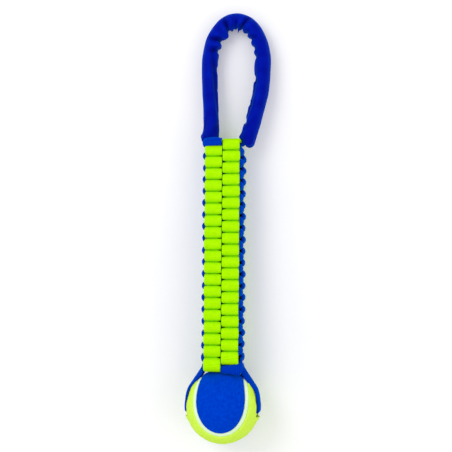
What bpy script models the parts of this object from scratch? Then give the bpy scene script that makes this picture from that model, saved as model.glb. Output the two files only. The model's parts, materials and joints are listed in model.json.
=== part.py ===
"""Bungee tug toy: a felt ball in a webbing sling, a box-stitched braid of four straps round an
elastic core, and a padded webbing hand loop. Metres, +Z up, lying on the floor, +Y to the handle.

The shapes are drawn in the toy's own straight frame: the ball's centre is the zero point, Y runs
along the braid, X to the viewer's right and Z towards the viewer. One empty then lays it down."""

import math

import bmesh
import bpy
import numpy as np
from mathutils import Vector

MM = 0.001
CLEARANCE = 0.3 * MM

# Ball
BALL_RADIUS = 32 * MM
FELT_THICKNESS = 2.5 * MM
BALL_CORE_GAP = 0.6 * MM
BALL_CORE_WALL = 3.3 * MM
SEAM_WIDTH = 4.4 * MM
SEAM_RECESS = 0.5 * MM
SEAM_LOBE_SHARE = 0.8
SEAM_STEPS = 60
PANEL_STEPS = 10
BALL_TILT = math.radians(9)
BALL_TURN = math.radians(2.5)
SLOT_DROP = 4.4 * MM
SLOT_HEIGHT = 7.5 * MM
SLOT_WIDTH_CLEARANCE = 0.6 * MM
SLOT_BEND = 2.5 * MM
BALL_CORE_STEPS = 9
BALL_CORE_SIDES = 32

# Webbing
STRAP_WIDTH = 15 * MM
STRAP_THICKNESS = 2.2 * MM
HALF_THICKNESS = STRAP_THICKNESS / 2

# Braid
ROUND_HEIGHT = 5.1 * MM
ROUND_COUNT = 39
LOW_LAYER_SHARE = 0.25
HIGH_LAYER_SHARE = 0.75
BALL_TO_BRAID = 1.0 * MM
BRAID_START = BALL_RADIUS + BALL_TO_BRAID
BRAID_END = BRAID_START + ROUND_COUNT * ROUND_HEIGHT
STRAND_INNER_EDGE = CLEARANCE / 2
STRAND_OUTER_EDGE = STRAND_INNER_EDGE + STRAP_WIDTH
STRAND_WAIST_EDGE = 3.4 * MM
FOLD_INSIDE = STRAND_OUTER_EDGE + CLEARANCE
FOLD_OUTSIDE = FOLD_INSIDE + STRAP_THICKNESS
FOLD_ROOT = STRAND_OUTER_EDGE - CLEARANCE / 2
FOLD_SHOULDER = 1.15 * MM
FOLD_SHOULDER_DROP = 0.5 * MM
FOLD_INNER_RISE = 0.8 * MM
FOLD_OUTER_RISE = 0.9 * MM
STEP_NEAR = 1.0 * MM
STEP_FAR = 2.2 * MM

# Elastic core
CORE_RADIUS = 3.0 * MM
CORE_STITCH_HEIGHT = 0.8 * MM
CORE_SIDES = 16

# Handle
LOOP_RADIUS = 23.9 * MM
LOOP_SHIFT = 9.5 * MM
LOOP_HEIGHT = 68.6 * MM
LOOP_RISE = 38.3 * MM
LEG_LEFT_END = (-12.7 * MM, 0.3 * MM)
LEG_LEFT_MIDDLE = (-12.4 * MM, 20 * MM)
LEG_LEFT_HIGH = (-13.9 * MM, 45 * MM)
LEG_RIGHT_HIGH = (31.8 * MM, 45 * MM)
LEG_RIGHT_MIDDLE = (25.4 * MM, 18 * MM)
LEG_RIGHT_END = (19.4 * MM, -1.0 * MM)
SLEEVE_HALF_WIDTH = 6.7 * MM
SLEEVE_END_HALF_WIDTH = 7.3 * MM
SLEEVE_ARC_MARGIN = 0.6 * MM
SLEEVE_WALL = 0.7 * MM
SLEEVE_SLACK = 1.1 * MM
SLEEVE_END_FLATTENING = 1.2 * MM
SLEEVE_HALF_DEPTH = STRAP_WIDTH / 2 + CLEARANCE + SLEEVE_SLACK + SLEEVE_WALL
SLEEVE_END_HALF_DEPTH = SLEEVE_HALF_DEPTH - SLEEVE_END_FLATTENING
SLEEVE_TAPER_SHARE = 0.06
SLEEVE_STATIONS = 46
SLEEVE_SIDES = 12
CURVE_STEPS = 24
RIGHT_END_INNER = (12.5 * MM, 4.6 * MM)
RIGHT_END_TIP = (20.5 * MM, -4.8 * MM)
RIGHT_END_OUTER = (26.3 * MM, 1.0 * MM)
HANDLE_PIVOT_HEIGHT = SLEEVE_END_HALF_DEPTH + CLEARANCE + SLEEVE_ARC_MARGIN
PAD_HALF_WIDTH = 5.4 * MM
PAD_OVERHANG = 0.5 * MM
PAD_HALF_DEPTH = STRAP_WIDTH / 2 + PAD_OVERHANG
PAD_INSET_SHARE = 0.09
PAD_SIDES = 6
NECK_HALF_WIDTH = 4.5 * MM

# Stitching
TACK_WIDTH = 6.0 * MM
TACK_DEPTH = 8.0 * MM
TACK_HEIGHT = 1.9 * MM
JOINT_STITCH_WIDTH = 14 * MM
JOINT_STITCH_DEPTH = 10 * MM
JOINT_STITCH_HEIGHT = 0.8 * MM

# Where it lies
TOY_LENGTH_AHEAD = BRAID_END + LOOP_HEIGHT + LOOP_RISE + SLEEVE_HALF_WIDTH
LIE_TILT = math.asin((BALL_RADIUS - FOLD_OUTSIDE) / BRAID_END)
PIVOT_Y = BRAID_END + HANDLE_PIVOT_HEIGHT
PIVOT_LIFT = BALL_RADIUS - PIVOT_Y * math.sin(LIE_TILT)
PIVOT_TO_LOOP_TOP = LOOP_HEIGHT + LOOP_RISE - HANDLE_PIVOT_HEIGHT
HANDLE_TILT = math.asin((PIVOT_LIFT - SLEEVE_HALF_DEPTH) / PIVOT_TO_LOOP_TOP)
HANDLE_DROOP = HANDLE_TILT - LIE_TILT
SLING_OUTSIDE = BALL_RADIUS + CLEARANCE + STRAP_THICKNESS
HANDLE_OUTSIDE = LOOP_SHIFT + LOOP_RADIUS + SLEEVE_HALF_WIDTH


def clear_scene():
    for obj in list(bpy.data.objects):
        bpy.data.objects.remove(obj, do_unlink=True)


def material(name, colour, roughness):
    made = bpy.data.materials.new(name)
    made.use_nodes = True
    shader = made.node_tree.nodes["Principled BSDF"]
    shader.inputs["Base Color"].default_value = (*colour, 1)
    shader.inputs["Roughness"].default_value = roughness
    shader.inputs["Metallic"].default_value = 0
    return made


def empty(name, parent=None, place=(0, 0, 0), turn_about_x=0.0):
    made = bpy.data.objects.new(name, None)
    bpy.context.scene.collection.objects.link(made)
    made.parent = parent
    made.location = place
    made.rotation_euler.x = turn_about_x
    return made


def add_object(name, mesh_data, look, parent, pivot=(0, 0, 0)):
    """Puts a mesh drawn in the toy's frame under an empty that stands at pivot in that frame."""
    made = bpy.data.objects.new(name, mesh_data)
    bpy.context.scene.collection.objects.link(made)
    mesh_data.materials.append(look)
    made.parent = parent
    made.location = -Vector(pivot)
    return made


def finish_mesh(name, bm, smooth_angle=None):
    bmesh.ops.recalc_face_normals(bm, faces=bm.faces)
    data = bpy.data.meshes.new(name)
    bm.to_mesh(data)
    bm.free()
    if smooth_angle is not None:
        data.shade_smooth()
        data.set_sharp_from_angle(angle=smooth_angle)
    return data


def bridge_rings(bm, rings, closed):
    """Quads between neighbouring rings of vertices, and round to the first ring if closed."""
    count = len(rings) if closed else len(rings) - 1
    for i in range(count):
        first = rings[i]
        second = rings[(i + 1) % len(rings)]
        for j in range(len(first)):
            k = (j + 1) % len(first)
            bm.faces.new((first[j], first[k], second[k], second[j]))


def loft(name, rings, closed=False, smooth_angle=math.radians(40)):
    """A solid through rings of points, capped at both ends unless it closes on itself."""
    bm = bmesh.new()
    made = [[bm.verts.new(point) for point in ring] for ring in rings]
    bridge_rings(bm, made, closed)
    if not closed:
        bm.faces.new(made[0])
        bm.faces.new(made[-1])
    return finish_mesh(name, bm, smooth_angle)


def loft_tube(name, outer, inner, smooth_angle=math.radians(40)):
    """An open tube with a wall, between outer and inner rings of the same number of points."""
    bm = bmesh.new()
    outside = [[bm.verts.new(point) for point in ring] for ring in outer]
    inside = [[bm.verts.new(point) for point in ring] for ring in inner]
    bridge_rings(bm, outside, False)
    bridge_rings(bm, inside, False)
    bridge_rings(bm, [outside[0], inside[0]], False)
    bridge_rings(bm, [outside[-1], inside[-1]], False)
    return finish_mesh(name, bm, smooth_angle)


def box(name, centre, size):
    bm = bmesh.new()
    bmesh.ops.create_cube(bm, size=1)
    bmesh.ops.scale(bm, vec=size, verts=bm.verts)
    bmesh.ops.translate(bm, vec=centre, verts=bm.verts)
    return finish_mesh(name, bm)


def disc(name, low, high, radius):
    """A round piece along Y between two heights."""
    rings = []
    for y in (low, high):
        angles = [2 * math.pi * i / CORE_SIDES for i in range(CORE_SIDES)]
        rings.append([(radius * math.cos(a), y, radius * math.sin(a)) for a in angles])
    return loft(name, rings)


# Braid strands. A strand goes back and forth across the braid, one run in each round. A point of
# it is given by how far across it is, its height, and its two edges sideways from the mid-plane.


def layer_heights(run):
    """Start and end height of a run: it starts on the high layer and ends on the low one."""
    low = BRAID_START + (run + LOW_LAYER_SHARE) * ROUND_HEIGHT
    high = BRAID_START + (run + HIGH_LAYER_SHARE) * ROUND_HEIGHT
    if run == 0:
        return low, low
    if run == ROUND_COUNT - 1:
        return high, high
    return high, low


def flat_station(across_top, across_bottom, height, way):
    top = (across_top, height + HALF_THICKNESS)
    bottom = (across_bottom, height - HALF_THICKNESS)
    pair = (top, bottom) if way > 0 else (bottom, top)
    return (*pair, STRAND_WAIST_EDGE)


def run_stations(run, way):
    start, end = layer_heights(run)
    stations = [flat_station(-way * FOLD_ROOT, -way * FOLD_ROOT, start, way)]
    if start != end:
        stations.append(flat_station(-way * STEP_NEAR, -way * STEP_FAR, start, way))
        stations.append(flat_station(way * STEP_FAR, way * STEP_NEAR, end, way))
    stations.append(flat_station(way * FOLD_ROOT, way * FOLD_ROOT, end, way))
    return stations


def fold_stations(run, way):
    """The fold at the face, from the end of one run up to the start of the next."""
    low = layer_heights(run)[1]
    high = layer_heights(run + 1)[0]
    shoulder = FOLD_INSIDE + FOLD_SHOULDER
    corners = []
    for height, up in ((low, 1), (high, -1)):
        root_inside = (FOLD_INSIDE, height + up * HALF_THICKNESS)
        root_outside = (shoulder, height - up * (HALF_THICKNESS - FOLD_SHOULDER_DROP))
        face_inside = (FOLD_INSIDE, height + up * (HALF_THICKNESS + FOLD_INNER_RISE))
        face_outside = (FOLD_OUTSIDE, height + up * FOLD_OUTER_RISE)
        pairs = [(root_inside, root_outside), (face_inside, face_outside)]
        corners += pairs if up > 0 else pairs[::-1]
    stations = []
    for inside, outside in corners:
        inside = (way * inside[0], inside[1])
        outside = (way * outside[0], outside[1])
        pair = (inside, outside) if way > 0 else (outside, inside)
        stations.append((*pair, STRAND_INNER_EDGE))
    return stations


def strand_stations(first_run, last_run, even_way):
    stations = []
    for run in range(first_run, last_run + 1):
        way = even_way if run % 2 == 0 else -even_way
        stations += run_stations(run, way)
        if run < last_run:
            stations += fold_stations(run, way)
    return stations


def strand_mesh(name, first_run, last_run, even_way, side, runs_sideways):
    """side is the half of the braid that it keeps to. A lime strand runs between back and front,
    with its width along X, and a blue one runs sideways, with its width along Z."""
    rings = []
    for left, right, inner_edge in strand_stations(first_run, last_run, even_way):
        near = side * inner_edge
        far = side * STRAND_OUTER_EDGE
        ring = []
        for (across, height), edge in ((left, near), (left, far), (right, far), (right, near)):
            point = (across, height, edge) if runs_sideways else (edge, height, across)
            ring.append(point)
        rings.append(ring)
    return loft(name, rings, smooth_angle=math.radians(60))


def add_strands(parent, lime, blue):
    last = ROUND_COUNT - 1
    data = strand_mesh("lime_strand_left", 0, last, 1, -1, False)
    add_object("lime_strand_left", data, lime, parent)
    data = strand_mesh("lime_strand_right", 0, last, -1, 1, False)
    add_object("lime_strand_right", data, lime, parent)
    data = strand_mesh("blue_strand_front", 1, last - 1, 1, 1, True)
    add_object("blue_strand_front", data, blue, parent)
    data = strand_mesh("blue_strand_back", 1, last - 1, -1, -1, True)
    add_object("blue_strand_back", data, blue, parent)


def corner_band_mesh(name, side, low, high):
    """A strap's edge that wraps one front corner of the braid, side -1 for the left one."""
    middle = FOLD_INSIDE + HALF_THICKNESS
    bend = FOLD_INSIDE - CLEARANCE
    stop = STRAP_WIDTH / 2 + CLEARANCE
    inside = [(STRAND_INNER_EDGE, FOLD_INSIDE), (bend, FOLD_INSIDE)]
    inside += [(FOLD_INSIDE, bend), (FOLD_INSIDE, stop)]
    outside = [(STRAND_INNER_EDGE, FOLD_OUTSIDE), (middle, FOLD_OUTSIDE)]
    outside += [(FOLD_OUTSIDE, middle), (FOLD_OUTSIDE, stop)]
    rings = []
    for near, far in zip(inside, outside, strict=True):
        ring = [(side * near[0], low, near[1]), (side * far[0], low, far[1])]
        ring += [(side * far[0], high, far[1]), (side * near[0], high, near[1])]
        rings.append(ring)
    return loft(name, rings)


def add_core(braid, braid_end, end_pivot, elastic, thread):
    crossing = ROUND_HEIGHT - (ROUND_HEIGHT * LOW_LAYER_SHARE - HALF_THICKNESS) + CLEARANCE
    low = BRAID_START + crossing
    high = BRAID_END - crossing
    data = disc("core_stitch_bottom", low, low + CORE_STITCH_HEIGHT, CORE_RADIUS)
    add_object("core_stitch_bottom", data, thread, braid_end, end_pivot)
    data = disc("core_stitch_top", high - CORE_STITCH_HEIGHT, high, CORE_RADIUS)
    add_object("core_stitch_top", data, thread, braid)
    inset = CORE_STITCH_HEIGHT + CLEARANCE
    data = disc("bungee_core", low + inset, high - inset, CORE_RADIUS)
    add_object("bungee_core", data, elastic, braid)


def add_bands_and_tacks(braid, braid_end, end_pivot, blue, thread):
    margin = ROUND_HEIGHT * LOW_LAYER_SHARE - HALF_THICKNESS
    height = ROUND_HEIGHT - 2 * margin
    data = corner_band_mesh("end_band", 1, BRAID_START + margin, BRAID_START + margin + height)
    add_object("end_band", data, blue, braid_end, end_pivot)
    side = 1 if ROUND_COUNT % 2 == 0 else -1
    data = corner_band_mesh("neck_band", side, BRAID_END - margin - height, BRAID_END - margin)
    add_object("neck_band", data, blue, braid)
    size = (TACK_WIDTH, TACK_HEIGHT, TACK_DEPTH)
    reach = margin + TACK_HEIGHT / 2 + CLEARANCE / 2
    data = box("end_tack", (0, BRAID_START + reach, 0), size)
    add_object("end_tack", data, thread, braid_end, end_pivot)
    data = box("neck_tack", (0, BRAID_END - reach, 0), size)
    add_object("neck_tack", data, thread, braid)


# Ball. The seam is the closed curve of a tennis ball. Its first panel has its neck towards the
# braid and its lobes to the front and back, and the second is the same one turned over.


def seam_point(turn):
    lobe = SEAM_LOBE_SHARE
    rest = 1 - lobe
    x = lobe * math.cos(turn) + rest * math.cos(3 * turn)
    y = lobe * math.sin(turn) - rest * math.sin(3 * turn)
    z = 2 * math.sqrt(lobe * rest) * math.sin(2 * turn)
    return Vector((x, y, z)).normalized()


def seam_beside(turn, offset):
    """A unit vector beside the seam, by an angle as seen from the ball's centre."""
    small = 2 * math.pi / SEAM_STEPS / SEAM_STEPS
    here = seam_point(turn)
    along = (seam_point(turn + small) - seam_point(turn - small)).normalized()
    across = here.cross(along)
    return (here * math.cos(offset) + across * math.sin(offset)).normalized()


def on_ball(direction, radius):
    """Turns the curve's frame to the toy's: its z to the braid, and its d to the viewer."""
    root = math.sqrt(2)
    right = (direction.x + direction.y) / root
    front = (direction.y - direction.x) / root
    up = direction.z
    tilted_front = front * math.cos(BALL_TILT) - up * math.sin(BALL_TILT)
    tilted_up = up * math.cos(BALL_TILT) + front * math.sin(BALL_TILT)
    turned_right = right * math.cos(BALL_TURN) + tilted_front * math.sin(BALL_TURN)
    turned_front = tilted_front * math.cos(BALL_TURN) - right * math.sin(BALL_TURN)
    return Vector((turned_right, tilted_up, turned_front)) * radius


def turned_over(direction):
    """The half turn that lays the first felt panel on the second one's place."""
    return Vector((direction.x, -direction.y, -direction.z))


def panel_rows():
    """Rows of directions across the first panel, between facing points of its edge."""
    offset = (SEAM_WIDTH / 2 + CLEARANCE) / BALL_RADIUS
    half = SEAM_STEPS // 2
    rows = []
    for i in range(half + 1):
        turn = 0.75 * math.pi - math.pi * i / half
        first = seam_beside(turn, offset)
        last = Vector((-first.y, -first.x, first.z))
        if i in (0, half):
            rows.append([(first + last).normalized()])
            continue
        row = []
        for j in range(PANEL_STEPS + 1):
            row.append(first.slerp(last, j / PANEL_STEPS))
        rows.append(row)
    return rows


def panel_skin(bm, rows):
    """The faces of one skin of a panel, whose first and last rows are a single vertex."""
    for first, second in zip(rows, rows[1:]):
        if len(first) == 1 or len(second) == 1:
            tip = first[0] if len(first) == 1 else second[0]
            line = second if len(first) == 1 else first
            for a, b in zip(line, line[1:]):
                bm.faces.new((tip, a, b))
            continue
        for j in range(PANEL_STEPS):
            bm.faces.new((first[j], first[j + 1], second[j + 1], second[j]))


def rim_of(rows):
    middle = rows[1:-1]
    return [rows[0][0], *[r[0] for r in middle], rows[-1][0], *[r[-1] for r in middle[::-1]]]


def panel_mesh(name, turn_over):
    bm = bmesh.new()
    skins = []
    for radius in (BALL_RADIUS, BALL_RADIUS - FELT_THICKNESS):
        skin = []
        for row in panel_rows():
            placed = [turned_over(point) if turn_over else point for point in row]
            skin.append([bm.verts.new(on_ball(point, radius)) for point in placed])
        panel_skin(bm, skin)
        skins.append(skin)
    bridge_rings(bm, [rim_of(skins[0]), rim_of(skins[1])], False)
    return finish_mesh(name, bm, math.radians(40))


def seam_mesh():
    half = SEAM_WIDTH / 2 / BALL_RADIUS
    outside = BALL_RADIUS - SEAM_RECESS
    inside = BALL_RADIUS - FELT_THICKNESS
    rings = []
    for i in range(SEAM_STEPS):
        turn = 2 * math.pi * i / SEAM_STEPS
        left = seam_beside(turn, -half)
        right = seam_beside(turn, half)
        middle = seam_point(turn)
        ring = [on_ball(left, inside), on_ball(left, outside)]
        ring += [on_ball(middle, BALL_RADIUS), on_ball(right, outside), on_ball(right, inside)]
        rings.append(ring)
    return loft("seam_bead", rings, closed=True)


def ball_core_mesh(name, side):
    """Half of the hollow rubber core, side 1 for the front half, with a rim at the joint."""
    outside = BALL_RADIUS - FELT_THICKNESS - BALL_CORE_GAP
    inside = outside - BALL_CORE_WALL
    steps = BALL_CORE_STEPS
    sides = BALL_CORE_SIDES
    profile = []
    for radius, order in ((outside, range(steps)), (inside, range(steps - 1, -1, -1))):
        low = math.asin(CLEARANCE / 2 / radius)
        for i in order:
            angle = low + (math.pi / 2 - low) * i / steps
            profile.append((radius * math.cos(angle), side * radius * math.sin(angle)))
    bm = bmesh.new()
    columns = []
    for j in range(sides):
        turn = 2 * math.pi * j / sides
        column = []
        for reach, z in profile:
            point = (reach * math.cos(turn), reach * math.sin(turn), z)
            column.append(bm.verts.new(point))
        columns.append(column)
    outer_pole = bm.verts.new((0, 0, side * outside))
    inner_pole = bm.verts.new((0, 0, side * inside))
    for j in range(sides):
        a = columns[j]
        b = columns[(j + 1) % sides]
        for i in range(len(profile)):
            if i == steps - 1:
                bm.faces.new((a[i], b[i], outer_pole))
                bm.faces.new((a[i + 1], b[i + 1], inner_pole))
                continue
            k = (i + 1) % len(profile)
            bm.faces.new((a[i], b[i], b[k], a[k]))
    return finish_mesh(name, bm, math.radians(40))


def add_slot_cutter(parent):
    depth = STRAP_WIDTH + 2 * SLOT_WIDTH_CLEARANCE
    size = (4 * BALL_RADIUS, SLOT_HEIGHT, depth)
    data = box("slot_cutter", (0, -SLOT_DROP, 0), size)
    cutter = bpy.data.objects.new("slot_cutter", data)
    bpy.context.scene.collection.objects.link(cutter)
    cutter.parent = parent
    cutter.hide_render = True
    cutter.display_type = "WIRE"
    return cutter


def cut_slots(obj, cutter):
    cut = obj.modifiers.new("slots", "BOOLEAN")
    cut.operation = "DIFFERENCE"
    cut.solver = "EXACT"
    cut.object = cutter


def add_ball(parent, blue, lime, white, rubber):
    cutter = add_slot_cutter(parent)
    add_object("felt_panel_blue", panel_mesh("felt_panel_blue", False), blue, parent)
    lime_panel = add_object("felt_panel_lime", panel_mesh("felt_panel_lime", True), lime, parent)
    cut_slots(lime_panel, cutter)
    add_object("seam_bead", seam_mesh(), white, parent)
    for name, side in (("ball_core_front", 1), ("ball_core_back", -1)):
        half = add_object(name, ball_core_mesh(name, side), rubber, parent)
        cut_slots(half, cutter)


# Straps that run along a path in the X-Y plane, with their width along Z.


def arc_points(centre, radius, start, end, count):
    points = []
    for i in range(count + 1):
        angle = start + (end - start) * i / count
        x = centre[0] + radius * math.cos(angle)
        y = centre[1] + radius * math.sin(angle)
        points.append((x, y))
    return points


def unit_normals(points, closed):
    """In-plane normals at each point of a path, to the left of its direction."""
    ends = np.array(points)
    if closed:
        forward = np.roll(ends, -1, axis=0) - ends
        back = ends - np.roll(ends, 1, axis=0)
    else:
        steps = np.diff(ends, axis=0)
        forward = np.vstack([steps, steps[-1:]])
        back = np.vstack([steps[:1], steps])
    forward = forward / np.linalg.norm(forward, axis=1)[:, None]
    back = back / np.linalg.norm(back, axis=1)[:, None]
    mean = forward + back
    mean = mean / np.linalg.norm(mean, axis=1)[:, None]
    normals = np.stack([-mean[:, 1], mean[:, 0]], axis=1)
    reach = np.sum(normals * np.stack([-forward[:, 1], forward[:, 0]], axis=1), axis=1)
    return normals / reach[:, None]


def strap_mesh(name, points, half_widths):
    """A closed loop of webbing whose middle line is points."""
    normals = unit_normals(points, True)
    rings = []
    for (x, y), (nx, ny), half_width in zip(points, normals, half_widths, strict=True):
        ring = []
        for side, depth in ((-1, -1), (1, -1), (1, 1), (-1, 1)):
            reach = side * HALF_THICKNESS
            ring.append((x + reach * nx, y + reach * ny, depth * half_width))
        rings.append(ring)
    return loft(name, rings, closed=True)


def ball_strap_points():
    """The right half of the sling, from the braid round the ball and through the slot, and then
    the same mirrored."""
    reach = BALL_RADIUS + CLEARANCE + HALF_THICKNESS
    side = FOLD_INSIDE + HALF_THICKNESS
    crossing = BRAID_START + HIGH_LAYER_SHARE * ROUND_HEIGHT
    bend = HALF_THICKNESS + CLEARANCE
    corner = arc_points((side - bend, crossing - bend), bend, math.pi / 2, 0, 3)
    from_centre = math.hypot(side, crossing - bend)
    leaving = math.atan2(crossing - bend, side) - math.acos(reach / from_centre)
    slot_turn = -math.asin((SLOT_DROP - SLOT_BEND) / reach)
    hug = arc_points((0, 0), reach, leaving, slot_turn, 7)
    turn_x = reach * math.cos(slot_turn) - SLOT_BEND
    dive = arc_points((turn_x, SLOT_BEND - SLOT_DROP), SLOT_BEND, 0, -math.pi / 2, 4)
    half = corner + hug + dive[1:]
    return half + [(-x, y) for x, y in half[::-1]]


def add_sling(parent, pivot, blue, thread):
    points = ball_strap_points()
    data = strap_mesh("ball_strap", points, [STRAP_WIDTH / 2] * len(points))
    add_object("ball_strap", data, blue, parent, pivot)
    height = HALF_THICKNESS + CLEARANCE + JOINT_STITCH_HEIGHT / 2 - SLOT_DROP
    size = (JOINT_STITCH_WIDTH, JOINT_STITCH_HEIGHT, JOINT_STITCH_DEPTH)
    data = box("sling_stitch", (0, height, 0), size)
    add_object("sling_stitch", data, thread, parent, pivot)


# Handle. Its path is given from the braid's end: right of the axis, and beyond the end.


def smooth_curve(corners, count):
    """Evenly spaced points on a smooth curve through the corners."""
    knots = np.array(corners, float)
    padded = np.vstack([2 * knots[0] - knots[1], knots, 2 * knots[-1] - knots[-2]])
    fine = []
    for i in range(1, len(padded) - 2):
        before, start, end, after = padded[i - 1 : i + 3]
        for t in np.linspace(0, 1, CURVE_STEPS, endpoint=False):
            bend = 2 * before - 5 * start + 4 * end - after
            twist = 3 * start - before - 3 * end + after
            fine.append(start + 0.5 * ((end - before) * t + bend * t**2 + twist * t**3))
    fine.append(knots[-1])
    fine = np.array(fine)
    run = np.concatenate([[0], np.cumsum(np.linalg.norm(np.diff(fine, axis=0), axis=1))])
    at = np.linspace(0, run[-1], count)
    x = np.interp(at, run, fine[:, 0])
    y = np.interp(at, run, fine[:, 1])
    return list(zip(x, y, strict=True))


def handle_path():
    round_arch = arc_points((0, 0), LOOP_RADIUS, math.pi, 0, 8)
    stretch = LOOP_RISE / LOOP_RADIUS
    arch = [(LOOP_SHIFT + x, LOOP_HEIGHT + y * stretch) for x, y in round_arch]
    corners = [LEG_LEFT_END, LEG_LEFT_MIDDLE, LEG_LEFT_HIGH, *arch]
    corners += [LEG_RIGHT_HIGH, LEG_RIGHT_MIDDLE, LEG_RIGHT_END]
    points = smooth_curve(corners, SLEEVE_STATIONS)
    return [(x, BRAID_END + y) for x, y in points]


def sleeve_end_height(x, z):
    """How far down a sleeve end reaches: an arc round the fold's axis over the braid, so that it
    folds clear of it, and on the right leg a point that passes down beside the braid."""
    clear = HANDLE_PIVOT_HEIGHT - CLEARANCE
    arc = HANDLE_PIVOT_HEIGHT - math.sqrt(clear**2 - z**2)
    if x < RIGHT_END_INNER[0]:
        return BRAID_END + arc
    across, heights = zip(RIGHT_END_INNER, RIGHT_END_TIP, RIGHT_END_OUTER)
    slant = np.interp(x, across, heights)
    beside_braid = x > FOLD_OUTSIDE + CLEARANCE
    return BRAID_END + (slant if beside_braid else max(slant, arc))


def sleeve_half_sizes(share):
    """Half width and depth at a share of the sleeve's length: the ends are flatter and wider."""
    from_end = min(share, 1 - share) / SLEEVE_TAPER_SHARE
    blend = max(0.0, 1 - from_end)
    width = SLEEVE_HALF_WIDTH + (SLEEVE_END_HALF_WIDTH - SLEEVE_HALF_WIDTH) * blend
    depth = SLEEVE_HALF_DEPTH + (SLEEVE_END_HALF_DEPTH - SLEEVE_HALF_DEPTH) * blend
    return width, depth


def sleeve_rings(inset):
    points = handle_path()
    normals = unit_normals(points, False)
    rings = []
    last = len(points) - 1
    for i, ((x, y), (nx, ny)) in enumerate(zip(points, normals, strict=True)):
        width, depth = sleeve_half_sizes(i / last)
        ring = []
        for j in range(SLEEVE_SIDES):
            angle = 2 * math.pi * j / SLEEVE_SIDES
            across = (width - inset) * math.cos(angle)
            z = (depth - inset) * math.sin(angle)
            px = x + across * nx
            py = y + across * ny
            if i in (0, last):
                py = sleeve_end_height(px, z)
            ring.append((px, py, z))
        rings.append(ring)
    return rings


def pad_mesh(name, side):
    """Padding on one side of the webbing in the sleeve, side 1 for the inner side of the loop."""
    points = handle_path()
    normals = unit_normals(points, False)
    inset = round(PAD_INSET_SHARE * len(points))
    flat = HALF_THICKNESS + CLEARANCE
    start = math.asin(flat / PAD_HALF_WIDTH)
    rings = []
    for (x, y), (nx, ny) in list(zip(points, normals, strict=True))[inset:-inset]:
        ring = []
        for j in range(PAD_SIDES + 1):
            angle = start + (math.pi - 2 * start) * j / PAD_SIDES
            across = -side * PAD_HALF_WIDTH * math.sin(angle)
            z = PAD_HALF_DEPTH * math.cos(angle)
            ring.append((x + across * nx, y + across * ny, z))
        rings.append(ring)
    return loft(name, rings)


def webbing_loop():
    """Middle line and half widths of the handle's webbing: through the sleeve, and at the neck
    gathered narrow, down both sides of the braid's end and across it."""
    inside = handle_path()
    keep = round(PAD_INSET_SHARE * len(inside)) - 1
    inside = inside[keep:-keep]
    side = FOLD_INSIDE + HALF_THICKNESS
    crossing = BRAID_END - HIGH_LAYER_SHARE * ROUND_HEIGHT
    bend = HALF_THICKNESS + CLEARANCE
    corner = arc_points((side - bend, crossing + bend), bend, 0, -math.pi / 2, 3)
    rise = [(side, BRAID_END + CLEARANCE)]
    neck = rise + corner
    points = inside + neck + [(-x, y) for x, y in neck[::-1]]
    widths = [STRAP_WIDTH / 2] * len(inside) + [NECK_HALF_WIDTH] * (2 * len(neck))
    return points, widths


def add_handle(parent, pivot, sleeve_look, foam, blue):
    data = loft_tube("handle_sleeve", sleeve_rings(0), sleeve_rings(SLEEVE_WALL))
    add_object("handle_sleeve", data, sleeve_look, parent, pivot)
    for name, side in (("handle_pad_inner", 1), ("handle_pad_outer", -1)):
        add_object(name, pad_mesh(name, side), foam, parent, pivot)
    points, widths = webbing_loop()
    add_object("handle_webbing", strap_mesh("handle_webbing", points, widths), blue, parent, pivot)


def build():
    clear_scene()
    lime_webbing = material("lime_webbing", (0.42, 1.0, 0.0), 0.6)
    blue_webbing = material("blue_webbing", (0.004, 0.05, 0.55), 0.6)
    blue_knit = material("blue_knit", (0.0, 0.008, 0.36), 0.7)
    blue_felt = material("blue_felt", (0.0, 0.035, 0.5), 0.95)
    lime_felt = material("lime_felt", (0.52, 1.0, 0.06), 0.95)
    white_seam = material("white_seam", (0.75, 0.95, 0.8), 0.7)
    grey_rubber = material("grey_rubber", (0.06, 0.06, 0.07), 0.8)
    elastic = material("elastic", (0.8, 0.8, 0.78), 0.7)
    foam = material("foam", (0.03, 0.03, 0.035), 0.9)
    thread = material("thread", (0.005, 0.03, 0.3), 0.6)

    ahead = PIVOT_Y * math.cos(LIE_TILT)
    ahead += (TOY_LENGTH_AHEAD - PIVOT_Y) * math.cos(HANDLE_TILT)
    middle = ((HANDLE_OUTSIDE - SLING_OUTSIDE) / 2, (ahead - BALL_RADIUS) / 2)
    toy = empty("toy", None, (-middle[0], -middle[1], BALL_RADIUS), -LIE_TILT)
    end_pivot = (0, BRAID_START, 0)
    handle_pivot = (0, PIVOT_Y, 0)
    braid = empty("braid", toy)
    handle = empty("handle_fold", toy, handle_pivot, -HANDLE_DROOP)
    braid_end = empty("bungee_stretch", toy, end_pivot)
    sling = empty("ball_swing", braid_end)
    ball = empty("ball_rock", sling, -Vector(end_pivot))

    add_strands(braid, lime_webbing, blue_webbing)
    add_core(braid, braid_end, end_pivot, elastic, thread)
    add_bands_and_tacks(braid, braid_end, end_pivot, blue_webbing, thread)
    add_handle(handle, handle_pivot, blue_knit, foam, blue_webbing)
    add_sling(sling, end_pivot, blue_webbing, thread)
    add_ball(ball, blue_felt, lime_felt, white_seam, grey_rubber)


build()
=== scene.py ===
import json
import math
import random

import bmesh
import bpy
import numpy as np
from mathutils import Matrix, Vector, noise


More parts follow.
